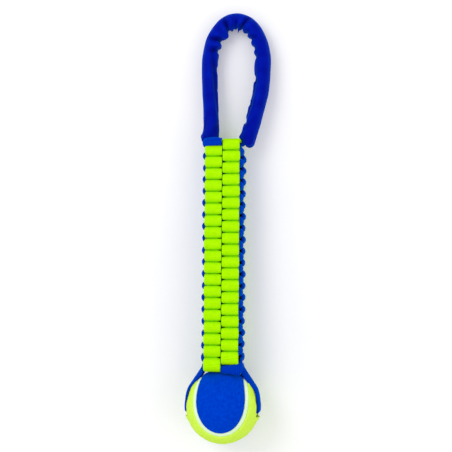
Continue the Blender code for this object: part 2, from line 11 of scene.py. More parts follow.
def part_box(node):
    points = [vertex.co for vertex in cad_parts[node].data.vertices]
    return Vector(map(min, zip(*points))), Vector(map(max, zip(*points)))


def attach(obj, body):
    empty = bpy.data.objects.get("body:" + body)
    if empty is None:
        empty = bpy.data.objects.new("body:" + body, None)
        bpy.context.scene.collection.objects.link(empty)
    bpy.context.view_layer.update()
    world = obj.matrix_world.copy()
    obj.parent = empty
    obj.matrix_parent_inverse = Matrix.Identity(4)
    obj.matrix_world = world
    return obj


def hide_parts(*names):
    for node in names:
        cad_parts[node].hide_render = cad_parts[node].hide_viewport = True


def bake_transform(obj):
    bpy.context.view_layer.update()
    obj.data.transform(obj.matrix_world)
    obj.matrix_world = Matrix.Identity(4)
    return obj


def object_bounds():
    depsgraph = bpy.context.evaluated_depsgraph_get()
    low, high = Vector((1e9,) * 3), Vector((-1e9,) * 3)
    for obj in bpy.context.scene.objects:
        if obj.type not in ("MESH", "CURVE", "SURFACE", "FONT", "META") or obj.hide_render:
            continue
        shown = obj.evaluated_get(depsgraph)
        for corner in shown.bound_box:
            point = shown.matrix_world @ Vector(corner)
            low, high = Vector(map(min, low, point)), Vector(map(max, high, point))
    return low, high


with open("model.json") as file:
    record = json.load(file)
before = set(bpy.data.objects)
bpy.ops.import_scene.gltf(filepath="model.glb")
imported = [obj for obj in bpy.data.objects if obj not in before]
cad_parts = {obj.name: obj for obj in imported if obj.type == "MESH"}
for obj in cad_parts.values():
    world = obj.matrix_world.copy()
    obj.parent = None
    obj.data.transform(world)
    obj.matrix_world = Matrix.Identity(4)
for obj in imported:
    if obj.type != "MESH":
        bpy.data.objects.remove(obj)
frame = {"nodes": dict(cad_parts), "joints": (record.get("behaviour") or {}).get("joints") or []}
cad_box = [list(corner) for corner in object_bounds()]

MM = 0.001
FLOOR_GAP = 0.05 * MM

# Sizes shared with the solids
CLEARANCE = 0.3 * MM
BALL_RADIUS = 32 * MM
FELT_THICKNESS = 2.5 * MM
SEAM_WIDTH = 4.4 * MM
SEAM_RECESS = 0.5 * MM
SEAM_LOBE_SHARE = 0.8
BALL_TILT = math.radians(9)
BALL_TURN = math.radians(2.5)
SLOT_DROP = 4.4 * MM
SLOT_HEIGHT = 7.5 * MM
SLOT_WIDTH_CLEARANCE = 0.6 * MM
SLOT_BEND = 2.5 * MM
STRAP_WIDTH = 15 * MM
STRAP_THICKNESS = 2.2 * MM
HALF_THICKNESS = STRAP_THICKNESS / 2
ROUND_HEIGHT = 5.1 * MM
ROUND_COUNT = 39
LOW_LAYER_SHARE = 0.25
HIGH_LAYER_SHARE = 0.75
BRAID_START = 33 * MM
BRAID_END = BRAID_START + ROUND_COUNT * ROUND_HEIGHT
STRAND_INNER_EDGE = CLEARANCE / 2
STRAND_OUTER_EDGE = STRAND_INNER_EDGE + STRAP_WIDTH
STRAND_WAIST_EDGE = 3.4 * MM
FOLD_INSIDE = STRAND_OUTER_EDGE + CLEARANCE
FOLD_OUTSIDE = FOLD_INSIDE + STRAP_THICKNESS
STRAP_SIDE = FOLD_INSIDE + HALF_THICKNESS
STRAP_BEND = HALF_THICKNESS + CLEARANCE
STEP_NEAR = 1.0 * MM
STEP_FAR = 2.2 * MM
LOOP_RADIUS = 23.9 * MM
LOOP_SHIFT = 9.5 * MM
LOOP_HEIGHT = 68.6 * MM
LOOP_RISE = 38.3 * MM
LEFT_LEG = ((-12.7, 0.3), (-12.4, 20), (-13.9, 45))
RIGHT_LEG = ((31.8, 45), (25.4, 18), (19.4, -1.0))
SLEEVE_HALF_WIDTH = 6.7 * MM
SLEEVE_HALF_DEPTH = 9.6 * MM
SLEEVE_END_HALF_WIDTH = 7.3 * MM
SLEEVE_END_HALF_DEPTH = 8.4 * MM
SLEEVE_WALL = 0.7 * MM
SLEEVE_TAPER_SHARE = 0.06
HANDLE_PIVOT_HEIGHT = 9.3 * MM
NECK_HALF_WIDTH = 4.5 * MM

# Fine detail of the webbing
RIB_PITCH = 1.7 * MM
RIB_SHARE = 0.025
RIBS_PER_FOLD = 8
SAMPLES_PER_RIB = 4
SELVEDGE = 1.5 * MM
EDGE_ROUND = 0.9 * MM
EDGE_STEPS = (0, 0.13, 0.45, 1)
INNER_COLUMNS = 8

# Folds of the braid. A shape is a fold's depth, squareness, half height and how far its ends are
# pinched. The chances are the most that a fold is moved up or down, its depth changed, as a share,
# its face leaned and its far edge moved.
FOLD_ROOT = 13.6 * MM
LIME_FOLD = (4.2 * MM, 0.9, 4.66 * MM, 0.8 * MM)
BLUE_FOLD = (3.7 * MM, 1.0, 3.9 * MM, 2.2 * MM)
FOLD_CHANCES = (0.15 * MM, 0.08, 0.35 * MM, 0.3 * MM)
FOLD_HOLLOW_DEPTH = 1.4 * MM
FOLD_HOLLOW_POWER = 0.5
FOLD_CROWN = 0.35 * MM
RUN_RIBS = round(2 * FOLD_ROOT / RIB_PITCH)
RUN_HALF_THICKNESS = 1.26 * MM
TIP_INSET = 2.8 * MM
RUN_NARROWING = 2.6 * MM
RUN_NARROW_FROM = 11.4 * MM
BRAID_SEED = 11

# Sag of the braid's last folds over the ball
SAG = 2.9 * MM
SAG_FROM = 11 * MM
SAG_WIDTH = 4 * MM
SAG_LENGTH = 14 * MM

# Where the camera looks from
CAMERA_SIDE_TURN = math.radians(7.5)
CAMERA_LENS = 85
CAMERA_SENSOR = 36
CAMERA_FRAME = 392 * MM

JOINTS = {joint["name"]: joint for joint in frame["joints"]}


def toy_frame():
    """The toy's straight frame: zero at the ball's centre, Y to the handle, Z to the viewer."""
    along = -Vector(JOINTS["bungee_stretch"]["axis"]).normalized()
    front = Vector(JOINTS["ball_swing"]["axis"]).normalized()
    turn = Matrix((along.cross(front), along, front)).transposed().to_4x4()
    return Matrix.Translation(JOINTS["ball_rock"]["pos_m"]) @ turn


def handle_frame():
    """The same frame for the handle, which droops to the floor about its pivot."""
    pivot = Vector(JOINTS["handle_fold"]["pos_m"])
    along = TOY.to_3x3() @ Vector((0, 1, 0))
    reach = LOOP_HEIGHT + LOOP_RISE - HANDLE_PIVOT_HEIGHT
    tilt = math.asin((pivot.z - SLEEVE_HALF_DEPTH) / reach)
    turn = Matrix.Rotation(math.atan2(-along.z, along.y) - tilt, 4, "X")
    return Matrix.Translation(pivot) @ turn @ Matrix.Translation(-pivot) @ TOY


TOY = toy_frame()
HANDLE = handle_frame()


# Meshes


def place(points, matrix):
    """World places of an array of points drawn in the toy's frame, none under the floor."""
    world = points @ np.array(matrix.to_3x3()).T + np.array(matrix.translation)
    world[..., 2] = np.maximum(world[..., 2], FLOOR_GAP)
    return world


def grid_mesh(name, points, matrix, row_lengths, column_lengths, wrap_rows=False, painted_shades=None):
    """A mesh through rings of points. Its map holds the length along the rows and round them, or
    instead of the second the painted shade and light of each point."""
    rows, columns = points.shape[:2]
    i, j = np.indices((rows if wrap_rows else rows - 1, columns)).reshape(2, -1, 1)
    i, j = i + [0, 1, 1, 0], j + [0, 0, 1, 1]
    faces = (i % rows * columns + j % columns).tolist()
    us = np.array(row_lengths)[i].ravel()
    if painted_shades is None:
        vs = np.array(column_lengths)[j].ravel()
    else:
        vs = painted_shades[i % rows, j % columns].ravel()
    if not wrap_rows:
        for row in (0, rows - 1):
            ring = list(range(row * columns, (row + 1) * columns))
            faces.append(ring if row else ring[::-1])
            us = np.append(us, [row_lengths[row]] * columns)
            vs = np.append(vs, column_lengths[:columns])
    mesh = bpy.data.meshes.new(name)
    mesh.from_pydata(place(points, matrix).reshape(-1, 3).tolist(), [], faces)
    layer = mesh.uv_layers.new(name="weave")
    layer.data.foreach_set("uv", np.stack([us, vs], axis=1).ravel().astype(np.float32))
    bm = bmesh.new()
    bm.from_mesh(mesh)
    bmesh.ops.recalc_face_normals(bm, faces=bm.faces)
    bm.to_mesh(mesh)
    bm.free()
    mesh.shade_smooth()
    mesh.set_sharp_from_angle(angle=math.radians(70))
    return mesh


def link(name, data):
    made = bpy.data.objects.new(name, data)
    bpy.context.scene.collection.objects.link(made)
    return made


def add_piece(name, mesh, look, slot, *nodes):
    piece = link(name, mesh)
    mesh.materials.append(look)
    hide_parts(*nodes)
    return piece


def smooth(x):
    x = np.clip(x, 0, 1)
    return x * x * (3 - 2 * x)


def run_lengths(points):
    return np.append(0, np.cumsum(np.linalg.norm(np.diff(points, axis=0), axis=1)))


def evenly(points, count):
    points = np.array(points, float)
    run = run_lengths(points)
    at = np.linspace(0, run[-1], count)
    return np.stack([np.interp(at, run, column) for column in points.T], axis=1)


def ring_order(count):
    """Each point's side round a strap's section, 0 left and 1 right, and its column."""
    sides = np.repeat([0, 1], [count, count - 2])
    return sides, np.append(np.arange(count), np.arange(count - 2, 0, -1))


def ring_lengths(shares):
    return np.append(shares, shares[0]) * STRAP_WIDTH


def strap_section():
    """Each point's side, place across, and how full a strap's rounded section is there."""
    edge = EDGE_ROUND * np.array(EDGE_STEPS)
    inner = np.linspace(EDGE_ROUND, STRAP_WIDTH - EDGE_ROUND, INNER_COLUMNS + 2)[1:-1]
    across = np.hstack([edge, inner, STRAP_WIDTH - edge[::-1]])
    short = np.clip(1 - np.minimum(across, STRAP_WIDTH - across) / EDGE_ROUND, 0, 1)
    sides, columns = ring_order(len(across))
    return sides, across[columns] / STRAP_WIDTH, np.sqrt(1 - short[columns] ** 2)


STRAP_SIDES, STRAP_SHARES, STRAP_FULLNESS = strap_section()


def rib_heights(ribs):
    """How much the ribs swell a strap. They die away at its edges."""
    from_edge = np.minimum(STRAP_SHARES, 1 - STRAP_SHARES) * STRAP_WIDTH
    return 1 + RIB_SHARE * smooth(from_edge / SELVEDGE) * (np.abs(np.sin(math.pi * ribs)) - 0.5)


# Braid. Each strand runs across it once in each round, and folds back at the face for the next. A
# row has its number of ribs so far, its way, its near and far edge, its share of a fold, its lean,
# and its left and right point in the run's plane.


def layer_heights(run):
    low = BRAID_START + (run + LOW_LAYER_SHARE) * ROUND_HEIGHT
    high = BRAID_START + (run + HIGH_LAYER_SHARE) * ROUND_HEIGHT
    return low if run == 0 else high, high if run == ROUND_COUNT - 1 else low


def run_rows(run, way, first, last, ribs):
    start, end = layer_heights(run)
    flat = run in (first, last)
    tip = STRAND_OUTER_EDGE - TIP_INSET
    left = -tip if run == first else -FOLD_ROOT
    right = tip if run == last else FOLD_ROOT
    spots = [(left, left, start), (-RUN_NARROW_FROM, -RUN_NARROW_FROM, start)]
    if start != end:
        spots += [(-STEP_NEAR, -STEP_FAR, start), (STEP_FAR, STEP_NEAR, end)]
    spots += [(RUN_NARROW_FROM, RUN_NARROW_FROM, end), (right, right, end)]
    rows = []
    for top, bottom, height in spots:
        narrow = 0 if flat or abs(top) == FOLD_ROOT else RUN_NARROWING
        top_point = (way * top, height + RUN_HALF_THICKNESS)
        bottom_point = (way * bottom, height - RUN_HALF_THICKNESS)
        near = STRAND_INNER_EDGE if flat else STRAND_WAIST_EDGE
        ribs_here = ribs + RUN_RIBS * ((top + bottom) / 2 / FOLD_ROOT + 1) / 2
        pair = (top_point, bottom_point)[::way]
        rows.append((ribs_here, way, near, STRAND_OUTER_EDGE - narrow, 0, 0, pair))
    return rows


def fold_rows(run, way, shape, chance, ribs):
    depth, power, half_height, pinch = shape
    low = layer_heights(run)[1]
    high = layer_heights(run + 1)[0]
    shift, spread, lean, out = (chance.uniform(-most, most) for most in FOLD_CHANCES)
    half = (high - low) / 2 + HALF_THICKNESS
    full_half = (2 - HIGH_LAYER_SHARE + LOW_LAYER_SHARE) * ROUND_HEIGHT / 2 + HALF_THICKNESS
    hollow = (FOLD_HOLLOW_DEPTH, FOLD_HOLLOW_POWER, half - STRAP_THICKNESS, 0)
    outer = (depth * (1 + spread), power, half * half_height / full_half, shift)
    count = RIBS_PER_FOLD * SAMPLES_PER_RIB
    rows = []
    for share in np.arange(1, count) / count:
        fold, side = math.sin(math.pi * share), -math.cos(math.pi * share)
        pair = []
        for deep, squareness, tall, moved in (hollow, outer):
            up = math.copysign(abs(side) ** squareness, side)
            across = FOLD_ROOT + deep * fold**squareness
            pair.append((way * across, (low + high) / 2 + moved + tall * up))
        far = STRAND_OUTER_EDGE - pinch * (1 - fold) ** 2 - out * fold
        ribs_here = ribs + RIBS_PER_FOLD * share
        rows.append((ribs_here, way, STRAND_INNER_EDGE, far, fold, lean, pair[::way]))
    return rows


def strand_rows(first, last, even_way, shape, chance):
    rows = []
    ribs = 0
    for run in range(first, last + 1):
        way = even_way * (-1) ** run
        rows += run_rows(run, way, first, last, ribs)
        ribs += RUN_RIBS
        if run < last:
            rows += fold_rows(run, way, shape, chance, ribs)
            ribs += RIBS_PER_FOLD
    return rows


def sagged(points):
    """The last folds hang over the ball, on the front and the back."""
    across = smooth((np.abs(points[..., 2]) - SAG_FROM) / SAG_WIDTH)
    along = 1 - smooth((points[..., 1] - BRAID_START) / SAG_LENGTH)
    moved = points.copy()
    moved[..., 1] -= SAG * across * along
    return moved


def strand_points(rows, side, runs_sideways):
    points = []
    for ribs, way, near, far, fold, lean, pair in rows:
        pair = np.array(pair)
        centre = pair.mean(axis=0)
        full = STRAP_FULLNESS * (rib_heights(ribs) if fold else 1)
        across, height = (centre + (pair[STRAP_SIDES] - centre) * full[:, None]).T
        face = fold * (STRAP_SIDES == (way > 0))
        off_middle = 2 * STRAP_SHARES - 1
        across = across + np.copysign(FOLD_CROWN * (1 - off_middle**2) * face, across)
        height = height + lean * off_middle * face
        width = side * (near + (far - near) * STRAP_SHARES)
        points.append((across, height, width) if runs_sideways else (width, height, across))
    return sagged(np.array(points).transpose(0, 2, 1))


def add_strand(name, inset, even_way, side, look, slot):
    chance = random.Random(f"{name}{BRAID_SEED}")
    runs_sideways = slot == "blue_webbing"
    shape = BLUE_FOLD if runs_sideways else LIME_FOLD
    rows = strand_rows(inset, ROUND_COUNT - 1 - inset, even_way, shape, chance)
    points = strand_points(rows, side, runs_sideways)
    lengths = [row[0] * RIB_PITCH for row in rows]
    mesh = grid_mesh(name, points, TOY, lengths, ring_lengths(STRAP_SHARES))
    blend_braid(add_piece(name + "_webbing", mesh, look, slot, name))


def blend_braid(piece):
    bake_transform(piece)


def add_braid(lime, blue):
    add_strand("lime_strand_left", 0, 1, -1, lime, "lime_webbing")
    add_strand("lime_strand_right", 0, -1, 1, lime, "lime_webbing")
    add_strand("blue_strand_front", 1, 1, 1, blue, "blue_webbing")
    add_strand("blue_strand_back", 1, -1, -1, blue, "blue_webbing")


# Straps along a path


def beside(path, reach, closed=False):
    """Points to the left of a path, one for each reach at each of its points."""
    before, after = 2 * path[:1] - path[1:2], 2 * path[-1:] - path[-2:-1]
    if closed:
        before, after = path[-1:], path[:1]
    steps = np.diff(np.vstack([before, path, after]), axis=0)
    steps /= np.linalg.norm(steps, axis=1)[:, None]
    along = steps[1:] + steps[:-1]
    along /= np.linalg.norm(along, axis=1)[:, None]
    return path[:, None] + reach[..., None] * (along[:, ::-1] * [-1, 1])[:, None]


def loop_strap(name, path, half_widths, curls, matrix):
    """A closed loop of ribbed webbing, with its width along Z. Where curls is over 0, its edges
    bend in round the ball."""
    closed = np.vstack([path, path[:1]])
    run = run_lengths(closed)
    count = round(run[-1] / RIB_PITCH) * SAMPLES_PER_RIB
    even = evenly(closed, count + 1)[:-1]
    at = np.linspace(0, run[-1], count + 1)[:-1]
    widths = np.interp(at, run, np.append(half_widths, half_widths[0]))
    curls = np.interp(at, run, np.append(curls, curls[0]))
    ribs = np.arange(count + 1) / SAMPLES_PER_RIB
    z = widths[:, None] * (2 * STRAP_SHARES - 1)
    reach = (1 - 2 * STRAP_SIDES) * HALF_THICKNESS * STRAP_FULLNESS * rib_heights(ribs[:-1, None])
    reach -= curls[:, None] * (BALL_RADIUS - np.sqrt(BALL_RADIUS**2 - z**2))
    points = np.dstack([beside(even, reach, closed=True), z])
    around = ring_lengths(STRAP_SHARES)
    return grid_mesh(name, points, matrix, ribs * RIB_PITCH, around, wrap_rows=True)


def arc_points(centre, radius, start, end, count):
    angles = np.linspace(start, end, count + 1)
    return np.array(centre) + radius * np.stack([np.cos(angles), np.sin(angles)], axis=1)


# The sling sinks into the felt at the ball's sides, and lies on it further up. FREE_CURLS are
# shares of its free length, and how far its edges bend in there.

SLING_PRESS = 1.3 * MM
PRESS_FULL_BELOW = 4 * MM
PRESS_ENDS = 18 * MM
SLING_CURL_SHARE = 1.5
SLING_CURL_STEPS = 4
SLING_INSIDE_HALF_WIDTH = 6.5 * MM
FREE_CURLS = ((0.12, 1.4), (0.25, 3.2), (0.4, 3.4), (0.6, 2.8), (0.85, 1.8))
GROOVE_HALF_WIDTH = 7.9 * MM
GROOVE_SPREAD_SHARE = 0.27
GROOVE_EDGE = 1.6 * MM


def press_depth(y):
    return SLING_PRESS * (1 - smooth((y - PRESS_FULL_BELOW) / (PRESS_ENDS - PRESS_FULL_BELOW)))


def ball_strap_path():
    """The sling's path, and its half width and how far its edges bend in at each point."""
    lying = BALL_RADIUS + CLEARANCE + HALF_THICKNESS
    turn = BRAID_START + HIGH_LAYER_SHARE * ROUND_HEIGHT - STRAP_BEND
    corner = arc_points((STRAP_SIDE - STRAP_BEND, turn), STRAP_BEND, math.pi / 2, 0, 8)
    leaving = math.atan2(turn, STRAP_SIDE) - math.acos(lying / math.hypot(STRAP_SIDE, turn))
    angles = np.linspace(leaving, -math.asin((SLOT_DROP - SLOT_BEND) / lying), 40)
    radius = lying - press_depth(lying * np.sin(angles))
    hug = np.stack([radius * np.cos(angles), radius * np.sin(angles)], axis=1)
    dive = arc_points(hug[-1] - [SLOT_BEND, 0], SLOT_BEND, 0, -math.pi / 2, 8)[1:]
    shares, free_curls = np.array(FREE_CURLS).T
    free = corner[-1] * (1 - shares[:, None]) + hug[0] * shares[:, None]
    half = np.vstack([corner, free, hug, dive])
    curls = np.ones(len(half))
    curls[:len(corner)] = 0
    bent = len(corner) + len(free)
    curls[len(corner):bent] = free_curls
    curls[bent:bent + SLING_CURL_STEPS] = SLING_CURL_SHARE
    curls[-len(dive):] = np.linspace(1, 0, len(dive))
    widths = np.full(len(half), STRAP_WIDTH / 2)
    widths[-len(dive):] = np.linspace(STRAP_WIDTH / 2, SLING_INSIDE_HALF_WIDTH, len(dive))
    path = np.vstack([half, half[::-1] * [-1, 1]])
    return path, np.append(widths, widths[::-1]), np.append(curls, curls[::-1])


def add_ball_strap(blue):
    mesh = loop_strap("ball_strap", *ball_strap_path(), TOY)
    piece = add_piece("ball_sling_webbing", mesh, blue, "blue_webbing", "ball_strap")
    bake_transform(piece)


# Bands round a front corner of the braid. Each is a strap laid flat, whose face is domed. Keys are
# shares of its length, its lower and its upper edge there, beyond the braid's end, and shares of
# its thickness. Faces are how far its inner and outer face stand off the braid, from its lower to
# its upper edge. Both are in millimetres.

BAND_CORNER_RADIUS = 2.5 * MM
BAND_COLUMNS = 13
BAND_ROWS = 110
BAND_RIB_SHARE = 0.16
BAND_END_SHARE = 0.03
END_BAND_STOP = 0.4 * MM
END_BAND_KEYS = (
    (0, 0.22, 0.45, 0.57, 0.69, 0.78, 1),
    (-0.4, -0.9, -2.1, -1.9, 1.8, 5.9, 6),
    (5.2, 5.4, 6, 7, 8.8, 9.6, 9.6),
    (0.9, 1, 1.15, 1.1, 0.85, 0.7, 0.7),
)
END_BAND_FACES = ((0.1, 1.3), (0.1, 2.5), (0.1, 2.9), (0.1, 2.5), (0.1, 1.1))
NECK_BAND_STOP = 6.0 * MM
NECK_BAND_KEYS = (
    (0, 0.2, 0.38, 0.52, 0.64, 0.78, 1),
    (-6.3, -6.4, -6.5, -6.7, -6.9, -7.0, -7.0),
    (0.2, 1.1, 1.0, 0.6, 0.2, -1.6, -2.8),
    (1.0, 1.0, 0.95, 0.8, 0.6, 0.45, 0.4),
)
NECK_BAND_FACES = ((1.6, 2.9), (1.2, 4.0), (0.5, 4.3), (0.15, 3.7), (0.1, 1.6))


def add_band(name, side, stop_z, end, keys, faces, blue, body):
    """A band from the front face's middle to the side, where it stops at stop_z."""
    centre = FOLD_INSIDE - BAND_CORNER_RADIUS
    corner = arc_points((centre, centre), BAND_CORNER_RADIUS, math.pi / 2, 0, 12)
    path = evenly([(CLEARANCE, FOLD_INSIDE), *corner, (FOLD_INSIDE, stop_z)], BAND_ROWS)
    shares = np.linspace(0, 1, BAND_ROWS)
    stops, *levels = np.array(keys)
    k = np.searchsorted(stops[1:-1], shares, "right")
    ease = smooth((shares - stops[k]) / (stops[k + 1] - stops[k]))
    low, high, thick = ((key[k] + (key[k + 1] - key[k]) * ease)[:, None] for key in levels)
    sides, columns = ring_order(BAND_COLUMNS)
    across = ((1 - np.cos(np.linspace(0, math.pi, BAND_COLUMNS))) / 2)[columns]
    spots = np.linspace(0, 1, len(faces))
    inner, outer = (np.interp(across, spots, face) * MM for face in np.array(faces).T)
    full = np.sqrt(1 - (2 * across - 1) ** 8)
    from_end = np.minimum(shares, 1 - shares) / BAND_END_SHARE
    end_full = np.sqrt(1 - np.clip(1 - from_end, 0, 1) ** 2)
    lengths = run_lengths(path)
    rib = np.abs(np.sin(math.pi * lengths / RIB_PITCH)) - 0.5
    half = (outer - inner) / 2 * full * end_full[:, None]
    half = np.where(sides, -half, half * (1 + BAND_RIB_SHARE * rib[:, None]))
    reach = ((inner + outer) / 2 + half) * thick
    x, z = beside(path, reach).transpose(2, 0, 1)
    points = np.dstack([side * x, end + (low + (high - low) * across) * MM, z])
    mesh = grid_mesh(name, sagged(points), TOY, lengths, ring_lengths(across))
    piece = add_piece(name + "_webbing", mesh, blue, "blue_webbing", name)
    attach(piece, body)


def add_bands(blue):
    add_band("end_band", 1, END_BAND_STOP, BRAID_START, END_BAND_KEYS, END_BAND_FACES, blue,
             "braid_end")
    add_band("neck_band", -1, NECK_BAND_STOP, BRAID_END, NECK_BAND_KEYS, NECK_BAND_FACES, blue,
             "braid")


# Ball

PANEL_ROWS = 230
PANEL_COLUMNS = 86
PANEL_EASE_SHARE = 0.45
SEAM_ROWS = 300
# Places across the seam, as shares of its half width, and how far it falls away there
SEAM_PROFILE = ((-1, 1), (-0.96, 0.35), (-0.8, 0.1), (-0.45, 0), (0, 0.03), (0.45, 0),
                (0.8, 0.1), (0.96, 0.35), (1, 1))
SEAM_LUMP = 0.08 * MM
RIM_OFFSET = 2.3 * MM
RIM_WANDER = 0.12 * MM
RIM_ROLL = 1.5 * MM
RIM_DROP = 1.0 * MM
FELT_LUMP = 0.3 * MM
FELT_LUMP_SIZE = 3.2 * MM
FELT_FUZZ = 0.2 * MM
FELT_FUZZ_SIZE = 1.1 * MM
LIP_FLARE = 1.3 * MM
LIP_REACH = 3.0 * MM


def seam_point(turn):
    """A point of a tennis ball's seam, on a unit ball."""
    rest = 1 - SEAM_LOBE_SHARE
    x = SEAM_LOBE_SHARE * math.cos(turn) + rest * math.cos(3 * turn)
    y = SEAM_LOBE_SHARE * math.sin(turn) - rest * math.sin(3 * turn)
    z = 2 * math.sqrt(SEAM_LOBE_SHARE * rest) * math.sin(2 * turn)
    return Vector((x, y, z)).normalized()


def seam_beside(turn, offset):
    small = 0.002
    here = seam_point(turn)
    along = (seam_point(turn + small) - seam_point(turn - small)).normalized()
    return (here * math.cos(offset) + here.cross(along) * math.sin(offset)).normalized()


def on_ball(points):
    """Turns the seam's frame to the toy's: z to the braid, and a lobe to the viewer."""
    for first, second, angle in ((0, 1, math.pi / 4), (2, 1, BALL_TILT), (0, 1, BALL_TURN)):
        a, b = points[..., first], points[..., second]
        points = points.copy()
        points[..., first] = a * math.cos(angle) + b * math.sin(angle)
        points[..., second] = b * math.cos(angle) - a * math.sin(angle)
    return points[..., [0, 2, 1]]


def panel_directions(turn_over):
    """A grid of directions over a panel, between facing points of its rim."""
    even = np.arange(1, PANEL_COLUMNS) / PANEL_COLUMNS
    eased = (1 - np.cos(math.pi * even)) / 2
    shares = PANEL_EASE_SHARE * eased + (1 - PANEL_EASE_SHARE) * even
    grid = []
    for i in range(PANEL_ROWS + 1):
        turn = 0.75 * math.pi - math.pi * i / PANEL_ROWS
        wander = RIM_WANDER * noise.noise(seam_point(turn) * 9)
        first = seam_beside(turn, (RIM_OFFSET + wander) / BALL_RADIUS)
        last = Vector((-first.y, -first.x, first.z))
        if i in (0, PANEL_ROWS):
            first = last = (first + last).normalized()
        row = [first, *(first.slerp(last, share) for share in shares), last]
        grid.append([tuple(point) for point in row])
    return np.array(grid) * ([1, -1, -1] if turn_over else 1)


def rim_distance(grid):
    """How far over the ball each point of a panel is from its rim."""
    rim = np.concatenate([grid[:, 0], grid[:, -1]])
    nearest = np.max(grid.reshape(-1, 3) @ rim.T, axis=1)
    return np.arccos(np.clip(nearest, -1, 1)).reshape(grid.shape[:2]) * BALL_RADIUS


def felt_height(direction, size, depth):
    return depth * noise.fractal(Vector(direction) * (BALL_RADIUS / size), 1.0, 2.0, 3)


def groove_depth(points):
    """How deep the sling presses into the felt. The groove widens, so that the ball can rock."""
    height = points[..., 1]
    half_width = GROOVE_HALF_WIDTH + GROOVE_SPREAD_SHARE * np.abs(height)
    aside = 1 - smooth((np.abs(points[..., 2]) - half_width) / GROOVE_EDGE)
    return press_depth(height) * aside * (height > -SLOT_DROP)


def panel_mesh(name, turn_over):
    grid = panel_directions(turn_over)
    roll = np.clip(1 - rim_distance(grid) / RIM_ROLL, 0, 1)
    lumps = np.zeros(grid.shape[:2])
    for spot in np.ndindex(*lumps.shape):
        lumps[spot] = felt_height(grid[spot], FELT_LUMP_SIZE, FELT_LUMP)
        lumps[spot] += felt_height(grid[spot], FELT_FUZZ_SIZE, FELT_FUZZ)
    placed = on_ball(grid)
    outer_radius = BALL_RADIUS - RIM_DROP * (1 - np.sqrt(1 - roll**2)) + lumps * (1 - roll)
    if turn_over:
        outer_radius -= groove_depth(placed * BALL_RADIUS)
    bm = bmesh.new()
    rims = []
    for radius in (outer_radius[..., None], BALL_RADIUS - FELT_THICKNESS):
        start, *middle, end = panel_skin(bm, place(placed * radius, TOY))
        sides = [row[0] for row in middle], [row[-1] for row in middle[::-1]]
        rims.append([start[0], *sides[0], end[0], *sides[1], start[0]])
    join_lines(bm, *rims)
    bmesh.ops.recalc_face_normals(bm, faces=bm.faces)
    mesh = bpy.data.meshes.new(name)
    bm.to_mesh(mesh)
    bm.free()
    mesh.shade_smooth()
    return mesh


def panel_skin(bm, points):
    """Rows of vertices, with faces between them. The first and the last row are one point."""
    rows = [[bm.verts.new(point) for point in line] for line in points[1:-1]]
    start, end = ([bm.verts.new(line[0])] * len(line) for line in (points[0], points[-1]))
    rows = [start, *rows, end]
    for first, second in zip(rows, rows[1:]):
        join_lines(bm, first, second)
    return rows


def join_lines(bm, first, second):
    for corners in zip(first, first[1:], second[1:], second):
        bm.faces.new(list(dict.fromkeys(corners)))


def seam_mesh():
    points = np.zeros((SEAM_ROWS, len(SEAM_PROFILE), 3))
    for i, j in np.ndindex(*points.shape[:2]):
        across, fall = SEAM_PROFILE[j]
        offset = across * SEAM_WIDTH / 2 / BALL_RADIUS
        direction = seam_beside(2 * math.pi * i / SEAM_ROWS, offset)
        sunk = SEAM_RECESS / 2 + fall * (FELT_THICKNESS - SEAM_RECESS)
        lump = felt_height(direction, FELT_LUMP_SIZE, SEAM_LUMP) * (1 - fall)
        points[i, j] = np.array(direction) * (BALL_RADIUS - sunk + lump)
    lengths = np.arange(SEAM_ROWS + 1) * MM
    return grid_mesh("seam", on_ball(points), TOY, lengths, lengths, wrap_rows=True)


def cut_slots(piece):
    """Cuts the two slots for the sling, and flares the lip below each."""
    depth = STRAP_WIDTH + 2 * SLOT_WIDTH_CLEARANCE
    cutter = link("slot_cutter", bpy.data.meshes.new("slot_cutter"))
    bm = bmesh.new()
    size = Matrix.Diagonal((4 * BALL_RADIUS, SLOT_HEIGHT, depth, 1))
    spot = TOY @ Matrix.Translation((0, -SLOT_DROP, 0))
    bmesh.ops.create_cube(bm, size=1, matrix=spot @ size)
    bm.to_mesh(cutter.data)
    bm.free()
    cut = piece.modifiers.new("slots", "BOOLEAN")
    cut.operation = "DIFFERENCE"
    cut.solver = "EXACT"
    cut.object = cutter
    graph = bpy.context.evaluated_depsgraph_get()
    mesh = bpy.data.meshes.new_from_object(piece.evaluated_get(graph))
    piece.modifiers.clear()
    piece.data = mesh
    bpy.data.objects.remove(cutter, do_unlink=True)
    flare_lips(mesh, depth / 2)
    mesh.shade_smooth()
    mesh.set_sharp_from_angle(angle=math.radians(55))


def flare_lips(mesh, half_depth):
    inverse = TOY.inverted()
    lip = -SLOT_DROP - SLOT_HEIGHT / 2
    for vertex in mesh.vertices:
        point = inverse @ vertex.co
        if point.y <= lip + CLEARANCE and abs(point.x) >= BALL_RADIUS / 2:
            below = (lip - point.y) / LIP_REACH
            aside = abs(point.z) / half_depth
            push = LIP_FLARE * math.exp(-below * below) * math.exp(-(aside**6))
            point.x += math.copysign(push, point.x)
            vertex.co = TOY @ point


def add_ball(blue, lime, white, rubber):
    for colour, look, turn_over in (("blue", blue, False), ("lime", lime, True)):
        mesh = panel_mesh(f"felt_{colour}", turn_over)
        panel = add_piece(f"felt_cover_{colour}", mesh, look, f"{colour}_felt",
                          f"felt_panel_{colour}")
        if turn_over:
            cut_slots(panel)
        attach(panel, "ball")
    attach(add_piece("ball_seam", seam_mesh(), white, "white_seam", "seam_bead"), "ball")
    for name in ("ball_core_front", "ball_core_back"):
        node = frame["nodes"][name]
        node.data.materials.clear()
        node.data.materials.append(rubber)


# Handle. Its path is given from the braid's end: right of the axis, and beyond the end.

